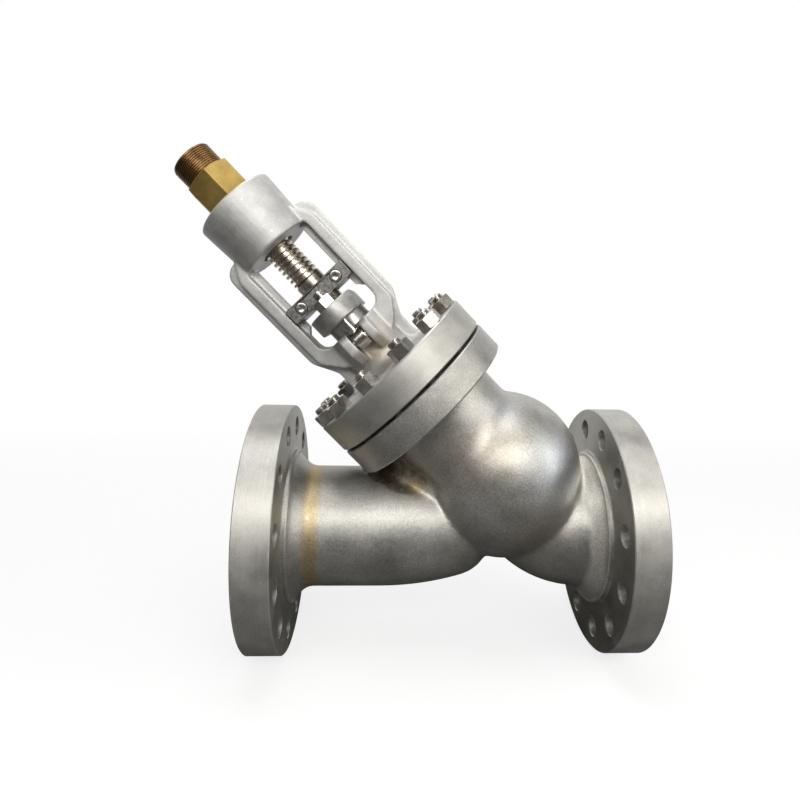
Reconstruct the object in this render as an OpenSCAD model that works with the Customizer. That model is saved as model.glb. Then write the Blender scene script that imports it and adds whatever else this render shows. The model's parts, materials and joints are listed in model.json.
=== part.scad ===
// Y-pattern globe valve with an outside screw and yoke, nominal size 6 inch, class 600.
// X runs along the pipe from the outlet face to the inlet face, and Z points up.
// Pieces of the bonnet are drawn on the stem line: x is across the yoke, z is along the stem.

/* [Pipe ends] */
// Length over the two raised faces
face_to_face = 559; // [545:1:580]
// Diameter of each end flange
flange_d = 355.6; // [350:0.1:370]
// Thickness of each end flange without its raised face
flange_t = 47.7; // [40:0.1:52]
// Diameter of the raised face
raised_face_d = 215.9; // [210:0.1:222]
// Height of the raised face
raised_face_h = 6.4; // [2:0.1:7]
// Diameter of the weld hub behind each end flange
hub_d = 222; // [214:1:230]
// Length of the straight part of the hub
hub_l = 8; // [4:1:12]
// Distance from the flange rim to the middle of its bolt holes
bolt_edge = 31.75; // [29:0.05:34]
// Bolt hole of the end flanges
bolt_hole_d = 28.6; // [20:0.1:32]
// Bolt holes in each end flange
bolt_count = 12; // [8:4:16]
// Bore of the two ports
bore_d = 152.4; // [144:0.1:154]

/* [Body casting] */
// Outer diameter of both legs
leg_d = 174; // [170:1:180]
// Length from the outlet face over which the outlet leg stays straight
outlet_straight_l = 186.5; // [180:0.5:190]
// Length from the inlet face over which the inlet leg stays straight
inlet_straight_l = 79.5; // [76:0.5:84]
// Radius of the bend that closes the outlet leg
outlet_bend_r = 458; // [440:1:480]
// Length of that bend
outlet_bend_l = 120; // [116:1:124]
// Radius of the bend that closes the inlet leg
inlet_bend_r = 165; // [160:1:170]
// Length of that bend
inlet_bend_l = 109; // [106:1:112]
// Radius of the nose at the end of each leg
nose_r = 60; // [56:1:64]
// Radius of the globe over the seat
globe_r = 116; // [113:0.5:120]
// Distance from the outlet face to the middle of the globe
globe_x = 366.2; // [362:0.5:370]
// Height of the upper centre of the globe over the pipe axis
globe_z = 89; // [86:0.5:92]
// Height of that centre over the lower centre
globe_drop = 15; // [8:0.5:18]
// Wall of the globe
globe_wall = 14; // [12:0.5:16]
// Radius of the neck under the bonnet joint
neck_r = 90.5; // [88:0.5:94]
// How far the neck casting sits off the stem line
neck_offset = 4; // [0:0.5:6]
// Bore of the neck
neck_bore_d = 156; // [150:1:160]

/* [Stem line] */
// Lean of the stem from the vertical
stem_lean = 45; // [44:0.5:46]
// Distance from the outlet face to the point where the stem line meets the pipe axis
stem_foot_x = 438.4; // [436:0.2:440]
// Travel of the disc from shut to open
lift = 56; // [40:1:58]

/* [Seat and disc] */
// Height of the seat pocket floor over the foot of the stem line
seat_floor = 26; // [24:0.5:28]
// Height of the seat ring
seat_h = 14; // [12:0.5:15]
// Bore of the seat ring
seat_bore_d = 124; // [116:1:126]
// Outer diameter of the seat ring
seat_d = 140; // [137:1:142]
// Thickness of the web that carries the seat ring, under the pocket
web_t = 10; // [8:0.5:12]
// Depth of the 45 degree seating cone
seat_cone = 4; // [3:0.5:5]
// Diameter of the disc
disc_d = 136; // [133:1:138]
// Thickness of the disc plate
disc_t = 22; // [18:1:26]
// Diameter of the disc hub
disc_hub_d = 84; // [82:1:92]
// Height of the hub over the plate
disc_hub_h = 36; // [34:1:44]
// Thread diameter between the disc hub and the disc nut
disc_nut_d = 64; // [64:0.5:68]
// Across flats of the disc nut
disc_nut_af = 78; // [74:1:82]
// Height of the hexagon of the disc nut
disc_nut_head_h = 10; // [8:1:14]
// Length of the disc nut's thread
disc_nut_l = 16; // [12:1:18]
// Thickness of the split ring that holds the stem in the disc
split_ring_t = 8; // [6:0.5:9]

/* [Bonnet joint] */
// Height of the body flange top over the foot of the stem line
body_flange_top = 297; // [292:1:302]
// Thickness of the body flange
body_flange_t = 41.5; // [38:0.5:45]
// Diameter of both bonnet joint flanges
joint_d = 268.4; // [266:0.2:274]
// Open gap between the two flanges
joint_gap = 4.5; // [3:0.5:6]
// Thickness of the bonnet flange
bonnet_flange_t = 44.8; // [40:0.1:50]
// Distance from the rim of the bonnet joint to the middle of its studs
stud_edge = 17.2; // [16:0.1:18]
// Diameter of the bonnet studs
stud_d = 20; // [18:0.5:22]
// Studs in the bonnet joint
stud_count = 12; // [8:4:12]
// How deep a stud sits in the body flange
stud_depth = 32; // [26:1:34]
// Across flats of the stud nuts
stud_nut_af = 30; // [27:0.5:30]
// Height of the stud nuts
stud_nut_h = 18; // [16:1:22]
// How far a stud stands over its nut
stud_over = 7; // [3:0.5:10]
// Diameter of the spigot that enters the body
spigot_d = 188; // [184:1:192]
// Depth of the recess that takes the gasket and the spigot
recess_depth = 12; // [9:0.5:14]
// Thickness of the squeezed gasket
gasket_t = 4.5; // [3:0.1:5]
// Radial width of the gasket
gasket_w = 12; // [8:0.5:14]

/* [Stem] */
// Diameter of the stem
stem_d = 44; // [42:0.5:46]
// Distance between the guide flats of the stem
stem_flats = 34; // [32:0.5:36]
// Diameter of the back seat collar
collar_d = 60; // [56:1:62]
// Height of the back seat collar
collar_h = 10; // [8:0.5:14]
// Groove diameter for the split ring
groove_d = 34; // [32:0.5:36]
// How far the stem end stands over the stem nut
stem_over = 3; // [0:0.5:10]

/* [Stuffing box] */
// Outer diameter of the stuffing box
box_d = 92; // [88:1:96]
// Height of the stuffing box shoulder over the bonnet flange
box_h = 73.7; // [70:0.1:78]
// Bore that holds the packing
packing_bore_d = 64; // [63:0.5:67]
// Number of packing rings
packing_count = 5; // [5]
// Height of one packing ring
packing_h = 10; // [8:0.5:10]
// Length of the back seat bush
bush_h = 20; // [16:1:22]
// Diameter of the back seat bush
bush_d = 70; // [68:1:76]
// Depth of the cone in the back seat bush
bush_cone = 6; // [4:0.5:8]
// Height of the gland over the stuffing box shoulder
gland_rise = 15; // [12:1:18]
// Thickness of the gland flange
gland_flange_t = 25; // [22:0.5:28]
// Width of the gland flange
gland_flange_w = 70; // [66:1:74]
// Gap between the stuffing box and the eye of each eyebolt
eyebolt_gap = 2; // [1:0.5:4]
// Diameter of the eyebolts
eyebolt_d = 16; // [14:0.5:18]
// Outer diameter of the eye
eye_d = 28; // [26:0.5:30]
// Width of the eye
eye_w = 19; // [17:0.5:21]
// Diameter of the eyebolt pins
pin_d = 12; // [10:0.5:13]
// Height of the pins under the stuffing box shoulder
pin_drop = 19; // [18:0.5:21]
// Height of the lugs that hold a pin
lug_h = 45; // [42:1:48]
// Thickness of one lug
lug_t = 13.5; // [11:0.5:15]
// Across flats of the eyebolt nuts
eyebolt_nut_af = 27; // [24:0.5:27]
// Height of the eyebolt nuts
eyebolt_nut_h = 16; // [13:0.5:18]
// How far an eyebolt stands over its nut
eyebolt_over = 10; // [4:1:14]

/* [Yoke] */
// Clear height of the yoke window
window_h = 153.5; // [150:0.5:160]
// Half width of the yoke window
window_half_w = 55; // [54:0.5:57]
// Thickness of the arm plate
arm_plate_t = 16; // [13:0.5:18]
// Width of the arm plate
arm_plate_w = 50; // [44:1:54]
// Distance from the stem line to the outer edge of the arm rib
arm_half_w = 81; // [79:0.5:84]
// Thickness of the arm rib
arm_rib_t = 16; // [12:0.5:20]
// Distance from the stem line to the foot of the rib
rib_foot_half_w = 62; // [58:0.5:64]
// Width of the guide rails
rail_w = 22; // [18:0.5:22]
// How far a rail stands inside the window
rail_h = 10; // [8:0.5:10.5]
// Height over the window bottom at which the rails end
rail_end = 34; // [28:1:38]
// Height of the yoke head
head_h = 85.3; // [83:0.1:92]
// Diameter of the yoke head at its top
head_top_d = 122.6; // [120:0.2:126]
// Diameter of the yoke head at its bottom
head_bottom_d = 113.8; // [112:0.2:116]

/* [Stem guide] */
// Height of the guide over the window bottom
guide_z = 55.5; // [52:0.5:60]
// Height of the guide bars
guide_h = 24; // [20:0.5:26]
// Distance from the stem line to the front of a guide bar
guide_reach = 30; // [28:0.5:32]
// Half length of a guide bar
guide_half_l = 53.5; // [52:0.5:53.5]
// Diameter of the guide screws
guide_screw_d = 10; // [8:0.5:10]
// Distance of each guide screw from the stem line
guide_screw_x = 33; // [32:0.5:34]

/* [Stem nut] */
// Across flats of the drive hexagon
drive_af = 66; // [60:0.5:68]
// Length of the drive hexagon
drive_l = 53.5; // [45:0.5:60]
// Diameter of the threaded end over the hexagon
drive_thread_d = 61; // [58:0.5:63]
// Length of that threaded end
drive_thread_l = 33; // [25:0.5:40]
// Diameter of the collar between the two bearings
nut_collar_d = 90; // [86:1:92]
// Height of that collar
nut_collar_h = 12; // [10:0.5:14]
// Floor of the yoke head under the lower bearing
head_floor_t = 14.5; // [12:0.5:16]
// Bore of the yoke head
head_bore_d = 96; // [94:0.5:100]
// Height of one thrust bearing
bearing_h = 16; // [14:0.5:16]
// Thickness of one bearing race
race_t = 4.4; // [4:0.1:4.6]
// Balls in one bearing
ball_count = 16; // [12:1:18]

/* [Clearances] */
// Radial clearance of turning and sliding fits
running_fit = 0.5; // [0.4:0.05:0.6]
// Radial clearance of parts that are screwed or pushed together
seated_fit = 0.15; // [0.1:0.05:0.3]
// Gap between the disc and its seat when shut
seat_gap = 0.3; // [0.2:0.05:0.4]

/* [Hidden] */
$fn = 64;
cut = 1;
leg_r = leg_d / 2;
bore_r = bore_d / 2;
leg_wall = leg_r - bore_r;
nose_turn = 80;
flange_back = raised_face_h + flange_t;
bolt_circle_d = flange_d - 2 * bolt_edge;
stud_circle_d = joint_d - 2 * stud_edge;
eyebolt_y = box_d / 2 + eye_d / 2 + eyebolt_gap;
seat_top = seat_floor + seat_h;
disc_bottom = seat_top - seat_cone - 3;
disc_face = seat_top + 2;
disc_top = disc_face + disc_t;
disc_hub_top = disc_top + disc_hub_h;
stem_r = stem_d / 2;
recess_floor = body_flange_top - recess_depth;
spigot_bottom = recess_floor + gasket_t;
bonnet_bottom = body_flange_top + joint_gap;
bonnet_top = bonnet_bottom + bonnet_flange_t;
shoulder = bonnet_top + box_h;
head_bottom = shoulder + window_h;
head_top = head_bottom + head_h;
bush_mouth_r = stem_r + running_fit + bush_cone;
collar_top = spigot_bottom + bush_mouth_r - collar_d / 2 - lift - seat_gap * sqrt(2);
packing_top = shoulder - 12;
packing_bottom = packing_top - packing_count * packing_h;
gland_top = shoulder + gland_rise;
gland_flange_top = gland_top + gland_flange_t;
pin_z = shoulder - pin_drop;
lug_inner = eye_w / 2 + 2;
guide_bottom = shoulder + guide_z;
split_ring_bottom = disc_hub_top - disc_nut_l - split_ring_t;
stem_bottom = split_ring_bottom - 9;
nut_floor = head_bottom + head_floor_t;
nut_collar_bottom = nut_floor + bearing_h;
nut_collar_top = nut_collar_bottom + nut_collar_h;
retainer_bottom = nut_collar_top + bearing_h;
drive_corner_r = drive_af / sqrt(3);
drive_top = head_top + drive_l;
nut_top = drive_top + drive_thread_l;
stem_top = nut_top + stem_over;
journal_r = stem_r + 9;
race_r = journal_r + running_fit;
ball_r = (bearing_h - 2 * race_t) / 2 - seated_fit;
ball_circle_r = (race_r + nut_collar_d / 2) / 2;

// Outlines are lists of corners, each with the radius that rounds it
function unit(v) = v / norm(v);
function short_turn(a) = a > 180 ? a - 360 : a < -180 ? a + 360 : a;
function arc(centre, r, from, sweep, steps) =
    [for (i = [0:steps]) centre + r * [cos(from + sweep * i / steps), sin(from + sweep * i / steps)]];
function corner(before, at, after, r, steps) =
    let (u = unit(before - at), v = unit(after - at), half = acos(u * v) / 2)
    let (centre = at + unit(u + v) * r / sin(half))
    let (first = at + u * r / tan(half) - centre, last = at + v * r / tan(half) - centre)
    let (from = atan2(first[1], first[0]))
    arc(centre, r, from, short_turn(atan2(last[1], last[0]) - from), steps);
function flat(p) = [p[0], p[1]];
function rounded(pts, steps = 5) =
    [for (i = [0:len(pts) - 1])
        let (n = len(pts), before = flat(pts[(i + n - 1) % n]), after = flat(pts[(i + 1) % n]))
        each (pts[i][2] > 0 ? corner(before, flat(pts[i]), after, pts[i][2], steps) : [flat(pts[i])])];

module on_stem() {
    translate([stem_foot_x, 0, 0]) rotate([0, -stem_lean, 0]) children();
}

module at_inlet() {
    translate([face_to_face, 0, 0]) mirror([1, 0, 0]) children();
}

module turned(profile) {
    rotate_extrude($fn = 96) polygon(profile);
}

// Everything over a height
module above(height) {
    translate([-face_to_face, -face_to_face, height]) cube(2 * face_to_face);
}

module ring(outer_r, inner_r, bottom, height) {
    translate([0, 0, bottom]) difference() {
        cylinder(r = outer_r, h = height);
        translate([0, 0, -cut]) cylinder(r = inner_r, h = height + 2 * cut);
    }
}

module hexagon(flats, bottom, height) {
    translate([0, 0, bottom]) cylinder(r = flats / sqrt(3), h = height, $fn = 6);
}

module round_the_studs() {
    for (i = [0:stud_count - 1]) rotate([0, 0, (i + 0.5) * 360 / stud_count])
        translate([stud_circle_d / 2, 0, 0]) children();
}

// Leg of the body as a turned profile, shrunk by a wall for its inside
module leg(straight_l, bend_r, bend_l, wall = 0) {
    bend_end = asin(bend_l / bend_r);
    nose_x = leg_r - bend_r + (bend_r - nose_r) * cos(bend_end);
    nose_z = straight_l + (bend_r - nose_r) * sin(bend_end);
    bend = arc([leg_r - bend_r, straight_l], bend_r - wall, 0, bend_end, 8);
    nose = arc([nose_x, nose_z], nose_r - wall, bend_end, nose_turn - bend_end, 5);
    start = wall > 0 ? -cut : flange_back / 2;
    rotate([0, 90, 0]) turned(concat([[0, start], [leg_r - wall, start]], bend,
        [for (i = [1:len(nose) - 1]) nose[i]], [[0, nose[len(nose) - 1][1]]]));
}

module end_flange() {
    rotate([0, 90, 0]) difference() {
        union() {
            cylinder(d = raised_face_d, h = flange_back);
            turned(rounded([[0, raised_face_h, 0], [flange_d / 2, raised_face_h, 1.5],
                [flange_d / 2, flange_back, 1.5], [0, flange_back, 0]], 1));
            turned(rounded([[0, flange_back - cut, 0], [hub_d / 2, flange_back - cut, 0],
                [hub_d / 2 - 3, flange_back + hub_l, 3], [hub_d / 2 - 8, flange_back + hub_l + 1, 2],
                [leg_r + 3, flange_back + hub_l + 16, 10], [leg_r - 1, flange_back + hub_l + 26, 0],
                [0, flange_back + hub_l + 26, 0]], 4));
        }
        for (i = [0:bolt_count - 1]) rotate([0, 0, (i + 0.5) * 360 / bolt_count])
            translate([bolt_circle_d / 2, 0, raised_face_h - cut])
                cylinder(d = bolt_hole_d, h = flange_t + 3 * cut);
    }
}

module globe(wall = 0) {
    for (z = [globe_z - globe_drop, globe_z])
        translate([globe_x, 0, z]) sphere(r = globe_r - wall, $fn = 96);
}

module outlet_leg(wall = 0) {
    leg(outlet_straight_l, outlet_bend_r, outlet_bend_l, wall);
}

module inlet_leg(wall = 0) {
    at_inlet() leg(inlet_straight_l, inlet_bend_r, inlet_bend_l, wall);
}

module body_neck() {
    flange_bottom = body_flange_top - body_flange_t;
    neck_bottom = seat_top + 20;
    translate([neck_offset, 0, 0]) turned(rounded([[0, neck_bottom, 0], [neck_r, neck_bottom, 0],
        [neck_r, flange_bottom, 12], [neck_r + 20, flange_bottom, 0], [neck_r + 20, flange_bottom + cut, 0],
        [0, flange_bottom + cut, 0]]));
    turned(rounded([[0, flange_bottom, 0], [joint_d / 2, flange_bottom, 2],
        [joint_d / 2, body_flange_top, 1.5], [0, body_flange_top, 0]], 1));
}

// Space over the seat web, open to the outlet, and the bore of the neck
module outlet_passage() {
    intersection() {
        union() {
            globe(globe_wall);
            outlet_leg(leg_wall);
        }
        on_stem() above(seat_floor + 8);
    }
    on_stem() translate([0, 0, seat_top]) cylinder(d = neck_bore_d, h = body_flange_top);
}

// Space under the seat web, open to the inlet
module inlet_passage() {
    intersection() {
        inlet_leg(leg_wall);
        on_stem() mirror([0, 0, 1]) above(web_t - seat_floor);
    }
    on_stem() translate([0, 0, -20]) cylinder(d = seat_bore_d - 4, h = seat_top);
}

module body() {
    color("silver") difference() {
        union() {
            end_flange();
            at_inlet() end_flange();
            outlet_leg();
            inlet_leg();
            globe();
            on_stem() body_neck();
        }
        outlet_passage();
        inlet_passage();
        on_stem() {
            translate([0, 0, seat_floor]) cylinder(r = seat_d / 2 + seated_fit, h = seat_h + 20);
            translate([0, 0, recess_floor]) cylinder(r = spigot_d / 2 + running_fit, h = recess_depth + cut);
            round_the_studs() translate([0, 0, body_flange_top - stud_depth])
                cylinder(r = stud_d / 2 + seated_fit, h = stud_depth + cut);
        }
    }
}

module seat_ring() {
    color("lightsteelblue") on_stem() turned([[seat_bore_d / 2, seat_floor], [seat_d / 2, seat_floor],
        [seat_d / 2, seat_top], [seat_bore_d / 2 + seat_cone, seat_top],
        [seat_bore_d / 2, seat_top - seat_cone]]);
}

module disc() {
    cone_r = seat_bore_d / 2 + disc_bottom - seat_top + seat_cone - seat_gap * sqrt(2);
    color("lightsteelblue") on_stem() difference() {
        union() {
            turned([[0, disc_bottom], [cone_r, disc_bottom], [cone_r + disc_face - disc_bottom, disc_face],
                [disc_d / 2, disc_face + 1], [disc_d / 2, disc_top - 4], [disc_d / 2 - 4, disc_top],
                [0, disc_top]]);
            turned(rounded([[0, disc_top - cut, 0], [disc_hub_d / 2 + 12, disc_top - cut, 0],
                [disc_hub_d / 2 + 12, disc_top, 0], [disc_hub_d / 2, disc_top, 8],
                [disc_hub_d / 2, disc_hub_top, 2], [0, disc_hub_top, 0]]));
        }
        translate([0, 0, stem_bottom - seat_gap])
            cylinder(r = disc_nut_d / 2 + seated_fit, h = disc_hub_top - stem_bottom + seat_gap + cut);
    }
}

module disc_nut() {
    color("slategray") on_stem() difference() {
        union() {
            translate([0, 0, disc_hub_top - disc_nut_l]) cylinder(d = disc_nut_d, h = disc_nut_l + cut);
            hexagon(disc_nut_af, disc_hub_top, disc_nut_head_h);
        }
        translate([0, 0, disc_hub_top - disc_nut_l - cut])
            cylinder(r = stem_r + running_fit, h = disc_nut_l + disc_nut_head_h + 2 * cut);
    }
}

// Two half rings in the groove of the stem
module split_ring() {
    color("darkgray") on_stem() difference() {
        ring(disc_nut_d / 2 - running_fit, groove_d / 2 + seated_fit,
            split_ring_bottom + seat_gap, split_ring_t - 2 * seat_gap);
        translate([-disc_nut_d, -0.4, split_ring_bottom - cut])
            cube([2 * disc_nut_d, 0.8, split_ring_t + 2 * cut]);
    }
}

module stem() {
    collar_r = collar_d / 2;
    groove_bottom = split_ring_bottom + seat_gap;
    groove_top = split_ring_bottom + split_ring_t - seat_gap;
    color("silver") on_stem() difference() {
        turned([[0, stem_bottom], [stem_r - 4, stem_bottom], [stem_r, stem_bottom + 3],
            [stem_r, groove_bottom], [groove_d / 2, groove_bottom], [groove_d / 2, groove_top],
            [stem_r, groove_top], [stem_r, collar_top - collar_h - 4], [collar_r, collar_top - collar_h],
            [collar_r, collar_top], [stem_r, collar_top + collar_r - stem_r], [stem_r, stem_top - 3],
            [stem_r - 3, stem_top], [0, stem_top]]);
        for (side = [-1, 1]) translate([-stem_d, side * (stem_flats / 2 + stem_d) - stem_d, guide_bottom])
            cube([2 * stem_d, 2 * stem_d, guide_h]);
    }
}

// Outline of the arm plate with the window corner, on the right of the stem line
function plate_outline() = let (inside = box_d / 2 - 6, foot = shoulder - 40) rounded([
    [inside, head_bottom + 26, 0], [inside, head_bottom, 0], [window_half_w, head_bottom, 5],
    [window_half_w, shoulder, 17], [inside, shoulder, 0], [inside, foot, 0],
    [box_d / 2 + 3, shoulder - 34, 12], [window_half_w + arm_plate_t, shoulder - 6, 20],
    [window_half_w + arm_plate_t, head_bottom - 2, 14], [head_bottom_d / 2 - 2, head_bottom + 26, 0]]);

// Outline of the rib that runs down the outside of the arm to the bonnet flange
function rib_outline() = rounded([
    [box_d / 2 - 6, head_bottom + 27, 0], [box_d / 2 - 6, head_bottom + 2, 0],
    [window_half_w + 6, head_bottom + 2, 0], [window_half_w + 6, shoulder - 8, 0],
    [box_d / 2 - 6, shoulder - 8, 0], [box_d / 2 - 6, bonnet_top - cut, 0],
    [rib_foot_half_w + 23, bonnet_top - cut, 0], [rib_foot_half_w + 23, bonnet_top, 0],
    [rib_foot_half_w, bonnet_top, 15], [rib_foot_half_w, shoulder - 34, 20],
    [arm_half_w, shoulder + 2, 30], [arm_half_w, head_bottom + 27, 21]]);

function rail_outline() = rounded([
    [window_half_w + cut, shoulder + rail_end - 2, 0], [window_half_w - 2, shoulder + rail_end, 2],
    [window_half_w - rail_h, shoulder + rail_end + 12, 4], [window_half_w - rail_h, head_bottom + cut, 0],
    [window_half_w + cut, head_bottom + cut, 0]]);

module across(width) {
    rotate([90, 0, 0]) translate([0, 0, -width / 2]) linear_extrude(width) children();
}

module yoke_arm() {
    across(arm_plate_w) polygon(plate_outline());
    across(arm_rib_t) polygon(rib_outline());
    across(rail_w) polygon(rail_outline());
}

module yoke_head() {
    turned(rounded([[0, head_bottom, 0], [head_bottom_d / 2, head_bottom, 3],
        [head_top_d / 2, head_top, 2], [0, head_top, 0]]));
}

module lug_pair() {
    for (side = [-1, 1]) translate([side * (lug_inner + lug_t / 2), 0, 0]) rotate([90, 0, 90])
        translate([0, 0, -lug_t / 2]) linear_extrude(lug_t) polygon(rounded([
            [box_d / 2 - 12, shoulder - lug_h - 6, 0], [eyebolt_y - 4, shoulder - lug_h - 2, 8],
            [eyebolt_y + 14, shoulder - lug_h + 14, 10], [eyebolt_y + 14, shoulder, 12],
            [box_d / 2 - 12, shoulder, 0]]));
}

module bonnet_casting() {
    turned(rounded([[0, bonnet_bottom, 0], [joint_d / 2, bonnet_bottom, 1.5],
        [joint_d / 2, bonnet_top, 2], [box_d / 2, bonnet_top, 20], [box_d / 2, shoulder, 2],
        [0, shoulder, 0]]));
    translate([0, 0, spigot_bottom]) cylinder(d = spigot_d, h = bonnet_bottom - spigot_bottom + cut);
    for (side = [0, 180]) rotate([0, 0, side]) yoke_arm();
    for (side = [0, 180]) rotate([0, 0, side]) lug_pair();
    yoke_head();
}

module bonnet() {
    color("gainsboro") on_stem() difference() {
        bonnet_casting();
        translate([0, 0, spigot_bottom - cut]) cylinder(r = stem_r + 1.5, h = shoulder - spigot_bottom);
        translate([0, 0, spigot_bottom - cut]) cylinder(r = bush_d / 2 + seated_fit, h = bush_h + cut);
        translate([0, 0, packing_bottom])
            cylinder(r = packing_bore_d / 2 + seated_fit, h = shoulder - packing_bottom + cut);
        translate([0, 0, head_bottom - cut]) cylinder(r = stem_r + 4, h = head_h + 2 * cut);
        translate([0, 0, nut_floor]) cylinder(r = head_bore_d / 2 + seated_fit, h = head_h);
        round_the_studs() translate([0, 0, bonnet_bottom - cut])
            cylinder(r = stud_d / 2 + 1, h = bonnet_flange_t + 2 * cut);
        for (side = [-1, 1]) translate([0, side * eyebolt_y, pin_z]) rotate([0, 90, 0])
            translate([0, 0, -gland_flange_w]) cylinder(r = pin_d / 2 + seated_fit, h = 2 * gland_flange_w);
    }
}

module bonnet_gasket() {
    color("dimgray") on_stem() ring(spigot_d / 2, spigot_d / 2 - gasket_w, recess_floor, gasket_t);
}

module bonnet_studs() {
    length = stud_depth + joint_gap + bonnet_flange_t + stud_nut_h + stud_over;
    color("dimgray") on_stem() round_the_studs() translate([0, 0, body_flange_top - stud_depth])
        turned([[0, 0], [stud_d / 2 - 1.5, 0], [stud_d / 2, 1.5], [stud_d / 2, length - 1.5],
            [stud_d / 2 - 1.5, length], [0, length]]);
}

module plain_nut(flats, height, hole_r) {
    difference() {
        intersection() {
            hexagon(flats, 0, height);
            turned([[0, 0], [flats / sqrt(3) + 1, 0], [flats / sqrt(3) + 1, height - 1.5 - 1 / sqrt(3)],
                [flats / 2 - 0.5, height], [0, height]]);
        }
        translate([0, 0, -cut]) cylinder(r = hole_r, h = height + 2 * cut);
    }
}

module bonnet_nuts() {
    color("silver") on_stem() round_the_studs() translate([0, 0, bonnet_top])
        plain_nut(stud_nut_af, stud_nut_h, stud_d / 2 + seated_fit);
}

module backseat_bush() {
    inner_r = stem_r + running_fit;
    color("tan") on_stem() turned([[bush_mouth_r, spigot_bottom], [bush_d / 2, spigot_bottom],
        [bush_d / 2, spigot_bottom + bush_h], [inner_r, spigot_bottom + bush_h],
        [inner_r, spigot_bottom + bush_cone]]);
}

module packing_ring(index) {
    color("darkslategray") on_stem() ring(packing_bore_d / 2, stem_r + seat_gap,
        packing_bottom + (index - 1) * packing_h, packing_h);
}

module gland() {
    color("silver") on_stem() ring(packing_bore_d / 2 - seated_fit, stem_r + running_fit,
        packing_top, gland_top - packing_top);
}

module gland_flange() {
    end_r = gland_flange_w / 2;
    color("silver") on_stem() difference() {
        translate([0, 0, gland_top]) {
            for (side = [-1, 1]) translate([0, side * eyebolt_y, 0]) cylinder(r = end_r, h = gland_flange_t);
            translate([-end_r, -eyebolt_y, 0]) cube([gland_flange_w, 2 * eyebolt_y, gland_flange_t]);
        }
        translate([0, 0, gland_top - cut]) {
            cylinder(r = stem_r + 2 * running_fit, h = gland_flange_t + 2 * cut);
            for (side = [-1, 1]) translate([0, side * eyebolt_y, 0])
                cylinder(r = eyebolt_d / 2 + running_fit, h = gland_flange_t + 2 * cut);
        }
    }
}

module eyebolt(side) {
    top = gland_flange_top + eyebolt_nut_h + eyebolt_over;
    color("lightgray") on_stem() translate([0, side * eyebolt_y, 0]) difference() {
        union() {
            translate([0, 0, pin_z]) rotate([0, 90, 0]) translate([0, 0, -eye_w / 2])
                cylinder(d = eye_d, h = eye_w);
            translate([0, 0, pin_z]) cylinder(d = eyebolt_d, h = top - pin_z);
        }
        translate([-eye_w, 0, pin_z]) rotate([0, 90, 0])
            cylinder(r = pin_d / 2 + seated_fit, h = 2 * eye_w);
    }
}

module eyebolt_pin(side) {
    half = lug_inner + lug_t;
    color("silver") on_stem() translate([-half, side * eyebolt_y, pin_z]) rotate([0, 90, 0])
        cylinder(d = pin_d, h = 2 * half);
}

module eyebolt_nut(side) {
    color("silver") on_stem() translate([0, side * eyebolt_y, gland_flange_top])
        plain_nut(eyebolt_nut_af, eyebolt_nut_h, eyebolt_d / 2 + seated_fit);
}

// One of the two bars that grip the flats of the stem and ride on the rails
module guide_clamp(side) {
    notch_x = window_half_w - rail_h - 1.5;
    notch_y = rail_w / 2 + running_fit + 0.5;
    on_stem() translate([0, 0, guide_bottom + 0.1]) difference() {
        across(2 * guide_reach) polygon(rounded([[-guide_half_l, 0, 2], [guide_half_l, 0, 2],
            [guide_half_l, guide_h - 0.2, 2], [-guide_half_l, guide_h - 0.2, 2]], 1));
        translate([-2 * guide_half_l, side > 0 ? -2 * guide_reach : 0, -cut])
            translate([0, side > 0 ? 0.25 : -0.25, 0])
            cube([4 * guide_half_l, 2 * guide_reach, guide_h + 2 * cut]);
        translate([-stem_r - 1, -stem_flats / 2 - 0.1, -cut])
            cube([stem_d + 2, stem_flats + 0.2, guide_h + 2 * cut]);
        for (end = [-1, 1]) translate([end * (notch_x + guide_half_l) - guide_half_l, -notch_y, -cut])
            cube([2 * guide_half_l, 2 * notch_y, guide_h + 2 * cut]);
        for (end = [-1, 1]) translate([end * guide_screw_x, 0, guide_h / 2]) rotate([90, 0, 0]) {
            translate([0, 0, -2 * guide_reach]) cylinder(r = guide_screw_d / 2 + seated_fit, h = 4 * guide_reach);
            translate([0, 0, guide_reach - guide_screw_d])
                cylinder(r = guide_screw_d * 0.8 + running_fit, h = guide_reach);
        }
    }
}

module guide_screws() {
    head_r = guide_screw_d * 0.8;
    color("silver") on_stem() for (end = [-1, 1])
        translate([end * guide_screw_x, -guide_reach + guide_screw_d, guide_bottom + 0.1 + guide_h / 2])
            rotate([90, 0, 0]) difference() {
                union() {
                    cylinder(r = head_r, h = guide_screw_d);
                    translate([0, 0, guide_screw_d - 2 * guide_reach + 2])
                        cylinder(d = guide_screw_d, h = 2 * guide_reach - guide_screw_d);
                }
                hexagon(guide_screw_d * 0.8, guide_screw_d / 2, guide_screw_d);
            }
}

module stem_nut() {
    color("goldenrod") on_stem() difference() {
        union() {
            translate([0, 0, nut_floor]) cylinder(r = journal_r, h = nut_collar_bottom - nut_floor + cut);
            translate([0, 0, nut_collar_bottom]) cylinder(d = nut_collar_d, h = nut_collar_h);
            translate([0, 0, nut_collar_top - cut]) cylinder(r = journal_r, h = head_top - nut_collar_top);
            intersection() {
                hexagon(drive_af, retainer_bottom + 1, drive_top - retainer_bottom - 1);
                turned([[0, 0], [drive_corner_r, 0], [drive_corner_r, drive_top - 3],
                    [drive_af / 2 - 1, drive_top], [0, drive_top]]);
            }
            turned([[0, drive_top - cut], [drive_thread_d / 2, drive_top - cut],
                [drive_thread_d / 2, nut_top - 1.5], [drive_thread_d / 2 - 1.5, nut_top], [0, nut_top]]);
        }
        translate([0, 0, nut_floor - cut]) cylinder(r = stem_r + running_fit, h = nut_top - nut_floor + 2 * cut);
    }
}

module race(bottom, outer_r, inner_r) {
    color("slategray") on_stem() ring(outer_r, inner_r, bottom, race_t);
}

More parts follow.
